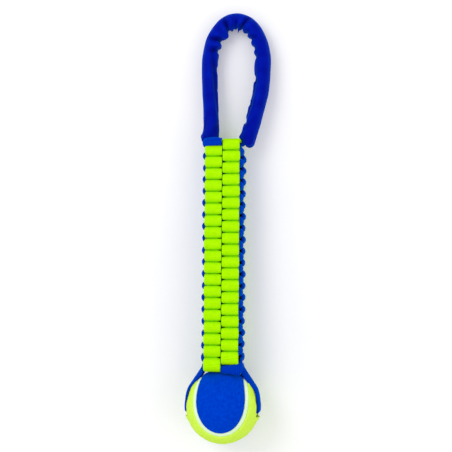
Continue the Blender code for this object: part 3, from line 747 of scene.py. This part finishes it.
SLEEVE_RIB_PITCH = 0.8 * MM
SLEEVE_RIB_DEPTH = 0.05 * MM
SLEEVE_SIDES = 56
SLEEVE_TURNS = np.arange(SLEEVE_SIDES) / SLEEVE_SIDES
SLEEVE_ANGLES = 2 * math.pi * SLEEVE_TURNS
LINING_ROWS = 90
CURVE_STEPS = 24
PUFF_SHARE = 0.5
END_PLEATS = 9
END_PLEAT_DEPTH = 0.22 * MM
END_PLEAT_LENGTH = 7 * MM
END_CUT_SHARE = 0.03
LEG_SLACK = 0.3 * MM
LEG_SLACK_SIZE = 11 * MM
CAP_SHARES = (0.12, 0.3, 0.55, 0.8, 1)
CAP_CREASE = 0.3 * MM
HOLE_HALF_WIDTH = 1.5 * MM
HOLE_HALF_DEPTH = 5.2 * MM
END_ROUND = 1.2 * MM
LEFT_FLARE = 1.5 * MM
LEFT_FLARE_LENGTH = 6 * MM
LEFT_END = ((-21.5, 3.4), (-20.4, 0.6), (-19.2, -1.9), (-18.4, -2.4), (-18, -1.7), (-16.8, 0.3))
LEFT_END_DEPTH = 5.5 * MM
LEFT_END_EASE = 2.5 * MM
RIGHT_END = (21.4 * MM, -5.4 * MM)
RIGHT_END_CURVE = 105
# A crease runs from one place to another, and has a width and a depth. A place is the distance
# along the sleeve and the turn round it, where 0 is the outer side of the loop and a half the
# inner one. The lengths are in millimetres, and a depth below 0 makes a bulge.
CREASES = (
    (60, 0.4, 66, 0.6, 2.6, 0.5), (79, 0.3, 84, 0.62, 2.6, 1.2), (89, 0.16, 93, 0.64, 2.4, 1.4),
    (98, 0.46, 101, 0.54, 4.2, -2.4), (109, 0.13, 105, 0.62, 2.2, 1.5),
    (113, 0.36, 113, 0.6, 1.6, 0.6), (118.5, 0.3, 118.5, 0.62, 1.5, 0.8),
    (121.6, 0.49, 121.6, 0.51, 1.3, -3.4), (128, 0.14, 124.8, 0.62, 1.9, 1.4),
    (136, 0.34, 133.5, 0.6, 2.1, 0.9), (144, 0.3, 141, 0.64, 2.4, 1.1),
    (154, 0.36, 150.5, 0.6, 2.6, 0.8), (163, 0.4, 160, 0.6, 2.4, 0.7),
    (168, 0.46, 174, 0.54, 5.0, -1.1), (186, 0.34, 179, 0.6, 2.6, 1.0),
    (88, 0.3, 44, 0.44, 2.6, 0.8), (58, 0.36, 20, 0.46, 2.2, 0.6),
    (176, 0.42, 214, 0.36, 2.6, 0.8), (196, 0.46, 222, 0.4, 2.2, 0.7),
    (208, 0.34, 204, 0.58, 2.0, 0.5), (226, 0.32, 220, 0.56, 2.2, 0.9),
    (4, 0.3, 16, 0.46, 1.8, 0.5), (8, 0.14, 22, 0.2, 2.2, 0.4),
)


def handle_path(count):
    """Evenly spaced points on a smooth curve through the two legs and the arch."""
    arch = arc_points((0, 0), LOOP_RADIUS, math.pi, 0, 8) * [1, LOOP_RISE / LOOP_RADIUS]
    legs = [np.array(leg) * MM for leg in (LEFT_LEG, RIGHT_LEG)]
    knots = np.vstack([legs[0], arch + [LOOP_SHIFT, LOOP_HEIGHT], legs[1]])
    padded = np.vstack([2 * knots[0] - knots[1], knots, 2 * knots[-1] - knots[-2]])
    t = np.linspace(0, 1, CURVE_STEPS, endpoint=False)[:, None]
    fine = []
    for before, start, end, after in zip(padded, padded[1:], padded[2:], padded[3:]):
        bend = 2 * before - 5 * start + 4 * end - after
        twist = 3 * start - before - 3 * end + after
        fine.append(start + 0.5 * ((end - before) * t + bend * t**2 + twist * t**3))
    return evenly(np.vstack([*fine, knots[-1:]]), count) + [0, BRAID_END]


def sleeve_end_height(x, z):
    """How far down a sleeve end reaches: to the braid, and a little past it at its sides."""
    flat = CLEARANCE + END_ROUND * (z / SLEEVE_END_HALF_DEPTH) ** 4
    places, heights = np.array(LEFT_END).T * MM
    lip = np.interp(x, places, heights)
    aside = smooth((np.abs(z) - LEFT_END_DEPTH) / LEFT_END_EASE)
    left = lip + (np.maximum(flat, lip) - lip) * aside
    slant = RIGHT_END[1] + RIGHT_END_CURVE * (x - RIGHT_END[0]) ** 2
    beside_braid = x > FOLD_OUTSIDE + CLEARANCE
    right = np.where(beside_braid, slant, np.maximum(slant, flat))
    return BRAID_END + np.where(x < -STRAND_OUTER_EDGE, left, np.where(x > 0, right, flat))


def crease_depth(along, turn):
    """How far the creases move the sleeve's skin in or out, alike on the front and the back."""
    total = np.zeros(along.shape)
    girth = math.pi * (SLEEVE_HALF_WIDTH + SLEEVE_HALF_DEPTH)
    near = np.minimum(turn, 1 - turn) * girth
    for *ends, width, depth in CREASES:
        first, last = np.reshape(ends, (2, 2)) * [MM, girth]
        way = last - first
        pushes = []
        for around in (near, girth - near):
            offset = np.stack([along, around], axis=-1) - first
            held = np.clip(offset @ way / (way @ way), 0, 1)
            far = np.linalg.norm(offset - held[..., None] * way, axis=-1) / (width * MM)
            fade = 0.35 + 0.65 * np.sin(math.pi * held) ** 0.6
            puff = np.exp(-((far - 2) ** 2)) * PUFF_SHARE if depth > 0 else 0
            pushes.append(depth * MM * fade * (puff - np.exp(-(far**2))))
        total += np.where(np.abs(pushes[0]) > np.abs(pushes[1]), *pushes)
    return total


def sleeve_slack(path):
    slack = np.zeros((len(path), SLEEVE_SIDES))
    for i, j in np.ndindex(*slack.shape):
        x, y = path[i]
        x += SLEEVE_HALF_WIDTH * math.cos(SLEEVE_ANGLES[j])
        spot = Vector((x, y, SLEEVE_HALF_DEPTH * math.sin(SLEEVE_ANGLES[j])))
        slack[i, j] = noise.noise(spot / LEG_SLACK_SIZE)
    return slack * LEG_SLACK


def sleeve_skin(rows, inset):
    path = handle_path(rows)
    run = run_lengths(path)
    share = np.linspace(0, 1, rows)
    ease = np.maximum(0, 1 - np.minimum(share, 1 - share) / SLEEVE_TAPER_SHARE)[:, None]
    width = SLEEVE_HALF_WIDTH + (SLEEVE_END_HALF_WIDTH - SLEEVE_HALF_WIDTH) * ease
    depth = SLEEVE_HALF_DEPTH + (SLEEVE_END_HALF_DEPTH - SLEEVE_HALF_DEPTH) * ease
    along, turn = np.broadcast_arrays(run[:, None], SLEEVE_TURNS)
    push = crease_depth(along, turn) + sleeve_slack(path) - inset
    from_end = np.minimum(along, run[-1] - along)
    pleat = np.cos(END_PLEATS * SLEEVE_ANGLES) * np.exp(-from_end / END_PLEAT_LENGTH)
    push += END_PLEAT_DEPTH * pleat
    if not inset:
        push += SLEEVE_RIB_DEPTH * (np.abs(np.sin(math.pi * along / SLEEVE_RIB_PITCH)) - 0.5)
    flare = LEFT_FLARE * np.exp(-((run / LEFT_FLARE_LENGTH) ** 2))[:, None]
    across = np.cos(SLEEVE_ANGLES)
    reach = (width + push) * across + flare * np.maximum(across, 0)
    points = np.dstack([beside(path, reach), (depth + push) * np.sin(SLEEVE_ANGLES)])
    cut_ends(points, inset)
    # The last value is the skin's push, which the knit turns into painted shade where the skin is
    # pushed in and painted light where it bulges out.
    return points, run, push / SLEEVE_HALF_WIDTH


def cut_ends(points, raise_by):
    """Moves the last rows of points so that the sleeve ends on its slanted cut."""
    span = max(3, round(len(points) * END_CUT_SHARE))
    for rows in (points[:span], points[::-1][:span]):
        drop = sleeve_end_height(rows[0, :, 0], rows[0, :, 2]) + raise_by - rows[0, :, 1]
        rows[..., 1] += drop * (1 - smooth(np.arange(span) / span))[:, None]


def end_cap(edge, side):
    """Rings that close a sleeve end on the webbing, from its rim to just inside the hole."""
    hole = np.zeros(edge.shape)
    hole[:, 0] = side * (STRAP_SIDE + HOLE_HALF_WIDTH * np.cos(SLEEVE_ANGLES))
    hole[:, 2] = HOLE_HALF_DEPTH * np.sin(SLEEVE_ANGLES)
    share = np.array(CAP_SHARES)[:, None]
    rings = edge + (hole - edge) * share[..., None]
    crease = CAP_CREASE * np.cos(END_PLEATS * SLEEVE_ANGLES) * np.sin(math.pi * share)
    rings[..., 1] = sleeve_end_height(rings[..., 0], rings[..., 2]) + crease
    return np.vstack([rings, rings[-1:] + [0, SLEEVE_WALL, 0]])


def add_sleeve(look):
    path_length = run_lengths(handle_path(400))[-1]
    rows = round(path_length / SLEEVE_RIB_PITCH) * SAMPLES_PER_RIB + 1
    outer, run, swell = sleeve_skin(rows, 0.0)
    inner, inner_run, _ = sleeve_skin(LINING_ROWS, SLEEVE_WALL)
    right = end_cap(outer[-1], 1)
    left = end_cap(outer[0], -1)
    points = np.vstack([outer, right, inner[::-1], left[::-1]])
    steps = np.arange(1, len(right) + 1) * MM
    lengths = np.concatenate([run, run[-1] + steps, inner_run[::-1], -steps[::-1], run[:1]])
    # Painted shade and light: the outer skin's push goes into the map, darkening the knit in its
    # creases and lightening it on its puffs; the ends and the lining get none.
    painted_shades = np.zeros(points.shape[:2])
    painted_shades[:rows] = swell
    mesh = grid_mesh("sleeve", points, HANDLE, lengths, None, True, painted_shades)
    piece = add_piece("handle_sleeve_knit", mesh, look, "blue_knit", "handle_sleeve")
    blend_neck(piece)


def blend_neck(piece):
    """Bakes the piece's placement into its mesh."""
    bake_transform(piece)


PAD_ROWS = 140
PAD_SIDES = 14
PAD_HALF_WIDTH = 4.2 * MM
PAD_HALF_DEPTH = 6.8 * MM
PAD_INSET_SHARE = 0.09
PAD_TAPER_SHARE = 0.04
PAD_UNEVEN = 0.15 * MM


def add_pad(name, side, look):
    """Foam on one side of the webbing, with a rounded back and tapered ends."""
    path = handle_path(400)
    keep = round(PAD_INSET_SHARE * len(path))
    path = evenly(path[keep:-keep], PAD_ROWS)
    share = np.linspace(0, 1, PAD_ROWS)[:, None]
    from_end = np.minimum(share, 1 - share) / PAD_TAPER_SHARE
    taper = np.sqrt(1 - np.clip(1 - from_end, 0, 0.9) ** 2)
    angles = np.linspace(0, math.pi, PAD_SIDES)
    rise = (PAD_HALF_WIDTH - STRAP_BEND) * np.sin(angles) ** 0.8 * taper
    uneven = PAD_UNEVEN * np.sin(share * 90 + 3 * angles) * np.sin(angles)
    spots = beside(path, -side * (STRAP_BEND + rise + uneven))
    points = np.dstack([spots, PAD_HALF_DEPTH * np.cos(angles) * (0.6 + 0.4 * taper)])
    around = np.arange(PAD_SIDES + 1) * MM
    mesh = grid_mesh(name, points, HANDLE, run_lengths(path), around)
    piece = add_piece(name + "_foam", mesh, look, "foam", name)
    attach(piece, "handle")


def add_handle_webbing(blue):
    inside = handle_path(300)
    keep = round(PAD_INSET_SHARE * len(inside)) - 4
    inside = inside[keep:-keep]
    turn = BRAID_END - HIGH_LAYER_SHARE * ROUND_HEIGHT + STRAP_BEND
    corner = arc_points((STRAP_SIDE - STRAP_BEND, turn), STRAP_BEND, 0, -math.pi / 2, 6)
    neck = np.vstack([(STRAP_SIDE, BRAID_END + CLEARANCE), corner])
    path = np.vstack([inside, neck, neck[::-1] * [-1, 1]])
    widths = np.repeat([STRAP_WIDTH / 2, NECK_HALF_WIDTH], [len(inside), 2 * len(neck)])
    mesh = loop_strap("handle_webbing", path, widths, 0 * widths, HANDLE)
    piece = add_piece("handle_loop_webbing", mesh, blue, "blue_webbing", "handle_webbing")
    blend_neck(piece)


# Thread and the elastic core, inside

THREAD_RADIUS = 0.24 * MM
THREAD_SIDES = 6
THREAD_UP = (0.13, 1, 0.07)
TACK_INSET = 1.6 * THREAD_RADIUS
TACK_LAYER_PITCH = 2.2 * THREAD_RADIUS
TACK_PASS_PITCH = 3.2 * THREAD_RADIUS
TACK_BOW = 0.25 * THREAD_RADIUS
CORE_RADIUS = 3.0 * MM
CORE_STITCH_HEIGHT = 0.8 * MM
CORE_STITCH_TURNS = 5
CORE_STITCH_POINTS = 150
CORE_ROWS = 420
CORE_SIDES = 24
CORE_TWIST = 16 * MM
CORE_WEAVE_DEPTH = 0.12 * MM


def add_thread(name, path, radius, body, look):
    """A thread along a path that never doubles straight back."""
    path = np.array(path)
    ahead = np.vstack([path[1] - path[0], path[2:] - path[:-2], path[-1] - path[-2]])
    ahead /= np.linalg.norm(ahead, axis=1)[:, None]
    side = np.cross(ahead, THREAD_UP)
    side /= np.linalg.norm(side, axis=1)[:, None]
    over = np.cross(side, ahead)[:, None]
    angles = 2 * math.pi * np.arange(THREAD_SIDES)[:, None] / THREAD_SIDES
    points = path[:, None] + radius * (np.cos(angles) * side[:, None] + np.sin(angles) * over)
    around = np.arange(THREAD_SIDES + 1) * radius
    mesh = grid_mesh(name, points, TOY, run_lengths(path), around)
    piece = add_piece(name + "_thread", mesh, look, "thread", name)
    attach(piece, body)


def add_tack(name, body, look):
    """Stitches that fill a node's box, in the toy's frame, with their passes along Z."""
    corners = np.array([TOY.inverted() @ Vector(corner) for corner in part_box(name)])
    low = corners.min(axis=0) + TACK_INSET
    size = corners.max(axis=0) - TACK_INSET - low
    layers = int(size[1] / TACK_LAYER_PITCH) + 1
    passes = int(size[0] / TACK_PASS_PITCH)
    path = []
    for layer in range(layers):
        up = layer / (layers - 1) if layers > 1 else 0.5
        for k in range(passes + 1)[:: -1 if layer % 2 else 1]:
            for t in np.linspace(0, 1, 9):
                bow = TACK_BOW * math.sin(math.pi * t)
                share = [k / passes, up, 1 - t if k % 2 else t]
                path.append(low + size * share + [bow, 0, 0])
    add_thread(name, path, THREAD_RADIUS, body, look)


def add_core_stitch(name, height, body, look):
    """A disc of thread wound flat, which holds the end of the core."""
    share = np.linspace(0, 1, CORE_STITCH_POINTS)
    radius = 0.4 * MM + (CORE_RADIUS - 0.8 * MM) * share
    angle = 2 * math.pi * CORE_STITCH_TURNS * share
    path = np.stack([radius * np.cos(angle), height + 0 * share, radius * np.sin(angle)], axis=1)
    add_thread(name, path, THREAD_RADIUS * 1.2, body, look)


def add_core(elastic, thread):
    crossing = ROUND_HEIGHT * (1 - LOW_LAYER_SHARE) + HALF_THICKNESS + CLEARANCE
    low = BRAID_START + crossing
    high = BRAID_END - crossing
    add_core_stitch("core_stitch_bottom", low + CORE_STITCH_HEIGHT / 2, "braid_end", thread)
    add_core_stitch("core_stitch_top", high - CORE_STITCH_HEIGHT / 2, "braid", thread)
    inset = CORE_STITCH_HEIGHT + CLEARANCE
    heights = np.linspace(low + inset, high - inset, CORE_ROWS)
    angles = 2 * math.pi * np.arange(CORE_SIDES) / CORE_SIDES
    twist = 6 * 2 * math.pi * heights[:, None] / CORE_TWIST
    weave = np.cos(8 * angles + twist) * np.cos(8 * angles - twist)
    radius = CORE_RADIUS - CORE_WEAVE_DEPTH + CORE_WEAVE_DEPTH * weave
    points = np.dstack(np.broadcast_arrays(
        radius * np.cos(angles), heights[:, None], radius * np.sin(angles)))
    around = np.linspace(0, 2 * math.pi * CORE_RADIUS, CORE_SIDES + 1)
    mesh = grid_mesh("bungee_core", points, TOY, heights - heights[0], around)
    blend_braid(add_piece("bungee_core_elastic", mesh, elastic, "elastic", "bungee_core"))


# Materials


class Look:
    """A material whose nodes are made by short calls."""

    def __init__(self, name, specular, sheen=0.0, tint=(1, 1, 1)):
        self.material = bpy.data.materials.new(name)
        self.material.use_nodes = True
        self.tree = self.material.node_tree
        self.inputs = self.tree.nodes["Principled BSDF"].inputs
        self.inputs["Specular IOR Level"].default_value = specular
        self.inputs["Sheen Weight"].default_value = sheen
        self.inputs["Sheen Roughness"].default_value = 0.4
        self.inputs["Sheen Tint"].default_value = (*tint, 1)

    def put(self, value, socket):
        if isinstance(value, bpy.types.NodeSocket):
            self.tree.links.new(value, socket)
        else:
            socket.default_value = value

    def node(self, kind, values=(), **settings):
        """A new node, with values or links for some of its inputs."""
        made = self.tree.nodes.new("ShaderNode" + kind)
        for key, value in settings.items():
            setattr(made, key, value)
        for key, value in dict(values).items():
            self.put(value, made.inputs[key])
        return made

    def math(self, operation, *values):
        return self.node("Math", enumerate(values), operation=operation).outputs[0]

    def total(self, *terms, plus=0.0):
        """The sum of values times their weights."""
        for value, weight in terms:
            plus = self.math("MULTIPLY_ADD", value, weight, plus)
        return plus

    def wave(self, value):
        """Rises from 0 to 1 and falls back over each whole step of a value."""
        return self.math("ABSOLUTE", self.math("SINE", self.math("MULTIPLY", value, math.pi)))

    def weave(self):
        uv = self.node("UVMap", uv_map="weave").outputs[0]
        return self.node("SeparateXYZ", {0: uv}).outputs[:2]

    def noise(self, size, detail=3.0, roughness=0.55, stretch=(1, 1, 1)):
        spot = self.node("TexCoord").outputs["Object"]
        spot = self.node("Mapping", {"Vector": spot, "Scale": stretch}).outputs[0]
        values = {"Vector": spot, "Scale": 1 / size, "Detail": detail, "Roughness": roughness}
        return self.node("TexNoise", values).outputs[0]

    def cells(self, size):
        spot = self.node("TexCoord").outputs["Object"]
        values = {"Vector": spot, "Scale": 1 / size}
        return self.node("TexVoronoi", values).outputs["Distance"]

    def finish(self, shade, places, colours, height, depth, roughness):
        """Colours the surface by its shade, and gives it relief."""
        ramp = self.node("ValToRGB", {0: shade})
        elements = ramp.color_ramp.elements
        while len(elements) < len(places):
            elements.new(0.5)
        for element, spot, colour in zip(elements, places, colours):
            element.position = spot
            element.color = (*colour, 1)
        self.put(ramp.outputs[0], self.inputs["Base Color"])
        self.put(roughness, self.inputs["Roughness"])
        bump = self.node("Bump", {"Strength": 1.0, "Distance": depth, "Height": height})
        self.put(bump.outputs[0], self.inputs["Normal"])
        return self.material


FINE_RIB_PITCH = RIB_PITCH / 2
TOOTH_PITCH = 0.85 * MM


def webbing_look(name, colours, roughness, sheen=0.0, tint=(1, 1, 1)):
    """Grosgrain: ribs across the strap, each a row of small teeth, between firmer edges, with
    painted shade in the hollows of the weave.
    """
    look = Look(name, 0.0, sheen, tint)
    along, across = look.weave()
    ribs = look.math("DIVIDE", along, FINE_RIB_PITCH)
    teeth = look.math("DIVIDE", across, TOOTH_PITCH)
    shifted = look.total((look.math("FLOOR", ribs), 0.5), plus=teeth)
    tooth = look.total((look.wave(shifted), 0.3), plus=0.7)
    flat = look.total((look.wave(ribs), tooth), plus=-0.6)
    from_edge = look.math("MINIMUM", across, look.math("SUBTRACT", STRAP_WIDTH, across))
    inside = look.math("MINIMUM", look.math("DIVIDE", from_edge, SELVEDGE), 1.0)
    height = look.total((flat, inside), plus=0.6)
    wear = look.noise(4 * MM)
    # Painted shade: the weave's hollows are coloured darker and its crests lighter, with random
    # wear mixed in.
    shade = look.total((height, 1.0), (wear, 0.6), plus=-0.3)
    rough = look.total((wear, 0.25), plus=roughness - 0.12)
    return look.finish(shade, (0, 0.5, 1), colours, height, 0.08 * MM, rough)


def knit_look():
    """Ribbed knit: fine ridges round the tube, with a slight shine, with painted shade in its
    creases and between its ridges and painted light on its puffs.
    """
    look = Look("blue_knit_finish", 0.02, 0.9, (0.0, 0.18, 1.0))
    along, swell = look.weave()
    rib = look.wave(look.math("DIVIDE", along, SLEEVE_RIB_PITCH))
    height = look.total((look.noise(0.45 * MM, 2.0), 0.7), plus=rib)
    wear = look.noise(9 * MM, 4.0)
    # Painted shade and light: the ridges' hollows and the pushed-in creases are coloured darker,
    # the ridges and puffs lighter; the wear is random tone.
    shade = look.total((height, 0.3), (wear, 0.5), (swell, 2.2))
    colours = ((0, 0, 0.12), (0, 0.004, 0.34), (0, 0.014, 0.48))
    rough = look.total((wear, 0.3), plus=0.45)
    return look.finish(shade, (0.1, 0.55, 0.95), colours, height, 0.08 * MM, rough)


def felt_look(name, colours, nap):
    look = Look(name, 0.0, 0.6, nap)
    mottle = look.noise(2.6 * MM, 5.0, 0.7)
    fibre = look.noise(0.35 * MM, 4.0, 0.7, (1.0, 0.3, 1.0))
    height = look.total((fibre, 0.7), (look.cells(1.1 * MM), 0.5))
    shade = look.total((mottle, 0.75), (fibre, 0.35))
    rough = look.total((fibre, 0.12), plus=0.84)
    return look.finish(shade, (0.3, 0.53, 0.75), colours, height, 0.35 * MM, rough)


def plain_look(name, colours, roughness, size, depth, sheen=0.0):
    """A moulded or fibrous surface with fine unevenness."""
    look = Look(name, 0.25, sheen)
    grain = look.noise(size, 4.0)
    shade = look.total((grain, 0.5), (look.noise(size * 12), 0.5))
    rough = look.total((grain, 0.2), plus=roughness - 0.1)
    return look.finish(shade, (0.35, 0.65), colours, grain, depth, rough)


def twisted_look(name, colours, pitch, depth):
    """Thread or a braided cover, with strands laid at a slant, and painted shade between the
    strands.
    """
    look = Look(name, 0.25)
    slant = look.math("ADD", *look.weave())
    strand = look.wave(look.math("DIVIDE", slant, pitch))
    wear = look.noise(1.5 * MM)
    # Painted shade: the colour darkens between the strands and lightens on them, with random wear
    # mixed in.
    shade = look.total((strand, 0.7), (wear, 0.3))
    rough = look.total((wear, 0.2), plus=0.5)
    return look.finish(shade, (0.15, 0.75), colours, strand, depth, rough)


def floor_look():
    """Pale, and white where the camera or a glossy or clear surface sees it outside a shadow."""
    look = Look("floor_finish", 0.0)
    shade = look.noise(60 * MM, 2.0)
    colours = ((0.86, 0.86, 0.862), (0.88, 0.88, 0.882))
    rays = look.node("LightPath").outputs
    seen = look.math("MAXIMUM", rays["Is Camera Ray"], rays["Is Glossy Ray"])
    seen = look.math("MAXIMUM", seen, rays["Is Transmission Ray"])
    look.inputs["Emission Color"].default_value = (1, 1, 1, 1)
    look.put(look.math("MULTIPLY", seen, FLOOR_GLOW), look.inputs["Emission Strength"])
    return look.finish(shade, (0.2, 0.8), colours, shade, 0.01 * MM, 0.9)


# Floor, light and camera

FLOOR_GLOW = 0.14
FLOOR_HALF_SIZE = 3.0


def add_floor():
    mesh = bpy.data.meshes.new("floor")
    side = FLOOR_HALF_SIZE
    corners = [(-side, -side, 0), (side, -side, 0), (side, side, 0), (-side, side, 0)]
    mesh.from_pydata(corners, [], [(0, 1, 2, 3)])
    mesh.materials.append(floor_look())
    link("floor", mesh)


def add_lamp(name, place_at, size, power):
    data = bpy.data.lights.new(name, "AREA")
    data.shape = "DISK"
    data.size = size
    data.energy = power
    lamp = link(name, data)
    lamp.location = place_at
    lamp.rotation_euler = (-Vector(place_at)).to_track_quat("-Z", "Y").to_euler()


def add_light():
    world = bpy.data.worlds.new("studio")
    world.use_nodes = True
    background = world.node_tree.nodes["Background"]
    background.inputs[0].default_value = (1, 1, 1, 1)
    background.inputs[1].default_value = 0.8
    bpy.context.scene.world = world
    add_lamp("key", (-0.55, 0.5, 1.15), 0.7, 4.8)
    add_lamp("fill", (0.8, -0.2, 1.0), 0.9, 1.7)


def add_camera():
    low, high = (Vector(corner) for corner in cad_box)
    toward = Vector((math.sin(CAMERA_SIDE_TURN), 0, math.cos(CAMERA_SIDE_TURN)))
    distance = CAMERA_FRAME * CAMERA_LENS / CAMERA_SENSOR
    data = bpy.data.cameras.new("camera")
    data.lens = CAMERA_LENS
    data.sensor_width = CAMERA_SENSOR
    data.clip_start = 0.01
    camera = link("camera", data)
    up = Vector((0, 1, 0))
    turn = Matrix((up.cross(toward), up, toward)).transposed().to_4x4()
    camera.matrix_world = Matrix.Translation((low + high) / 2 + toward * distance) @ turn
    bpy.context.scene.camera = camera


def main():
    colours = (0.28, 0.68, 0), (0.41, 0.9, 0), (0.5, 0.98, 0.005)
    lime = webbing_look("lime_webbing_finish", colours, 0.75)
    colours = (0, 0.012, 0.28), (0, 0.03, 0.46), (0, 0.06, 0.64)
    blue = webbing_look("blue_webbing_finish", colours, 0.6, 0.5, (0, 0.4, 1))
    colours = (0, 0.03, 0.44), (0, 0.045, 0.58), (0, 0.07, 0.7)
    blue_felt = felt_look("blue_felt_finish", colours, (0, 0.3, 1))
    colours = (0.58, 0.95, 0.05), (0.68, 1, 0.085), (0.76, 1, 0.12)
    lime_felt = felt_look("lime_felt_finish", colours, (0.7, 1, 0.15))
    colours = (0.7, 0.93, 0.55), (0.82, 1, 0.7)
    white = plain_look("seam_finish", colours, 0.75, 0.7 * MM, 0.08 * MM)
    colours = (0.04, 0.04, 0.045), (0.09, 0.09, 0.1)
    rubber = plain_look("rubber_finish", colours, 0.8, 0.9 * MM, 0.1 * MM)
    colours = (0.02, 0.02, 0.024), (0.06, 0.06, 0.066)
    foam = plain_look("foam_finish", colours, 0.95, 0.8 * MM, 0.2 * MM, 0.2)
    colours = (0.45, 0.45, 0.44), (0.85, 0.85, 0.83)
    elastic = twisted_look("elastic_finish", colours, 1.2 * MM, 0.12 * MM)
    colours = (0.002, 0.01, 0.12), (0.01, 0.06, 0.45)
    thread = twisted_look("thread_finish", colours, 0.4 * MM, 0.05 * MM)
    add_braid(lime, blue)
    add_bands(blue)
    add_core(elastic, thread)
    add_tack("neck_tack", "braid", thread)
    add_tack("end_tack", "braid_end", thread)
    add_tack("sling_stitch", "ball_sling", thread)
    add_ball_strap(blue)
    add_ball(blue_felt, lime_felt, white, rubber)
    add_sleeve(knit_look())
    add_pad("handle_pad_inner", 1, foam)
    add_pad("handle_pad_outer", -1, foam)
    add_handle_webbing(blue)
    add_floor()
    add_light()
    add_camera()
    bpy.context.scene.view_settings.view_transform = "Standard"


main()
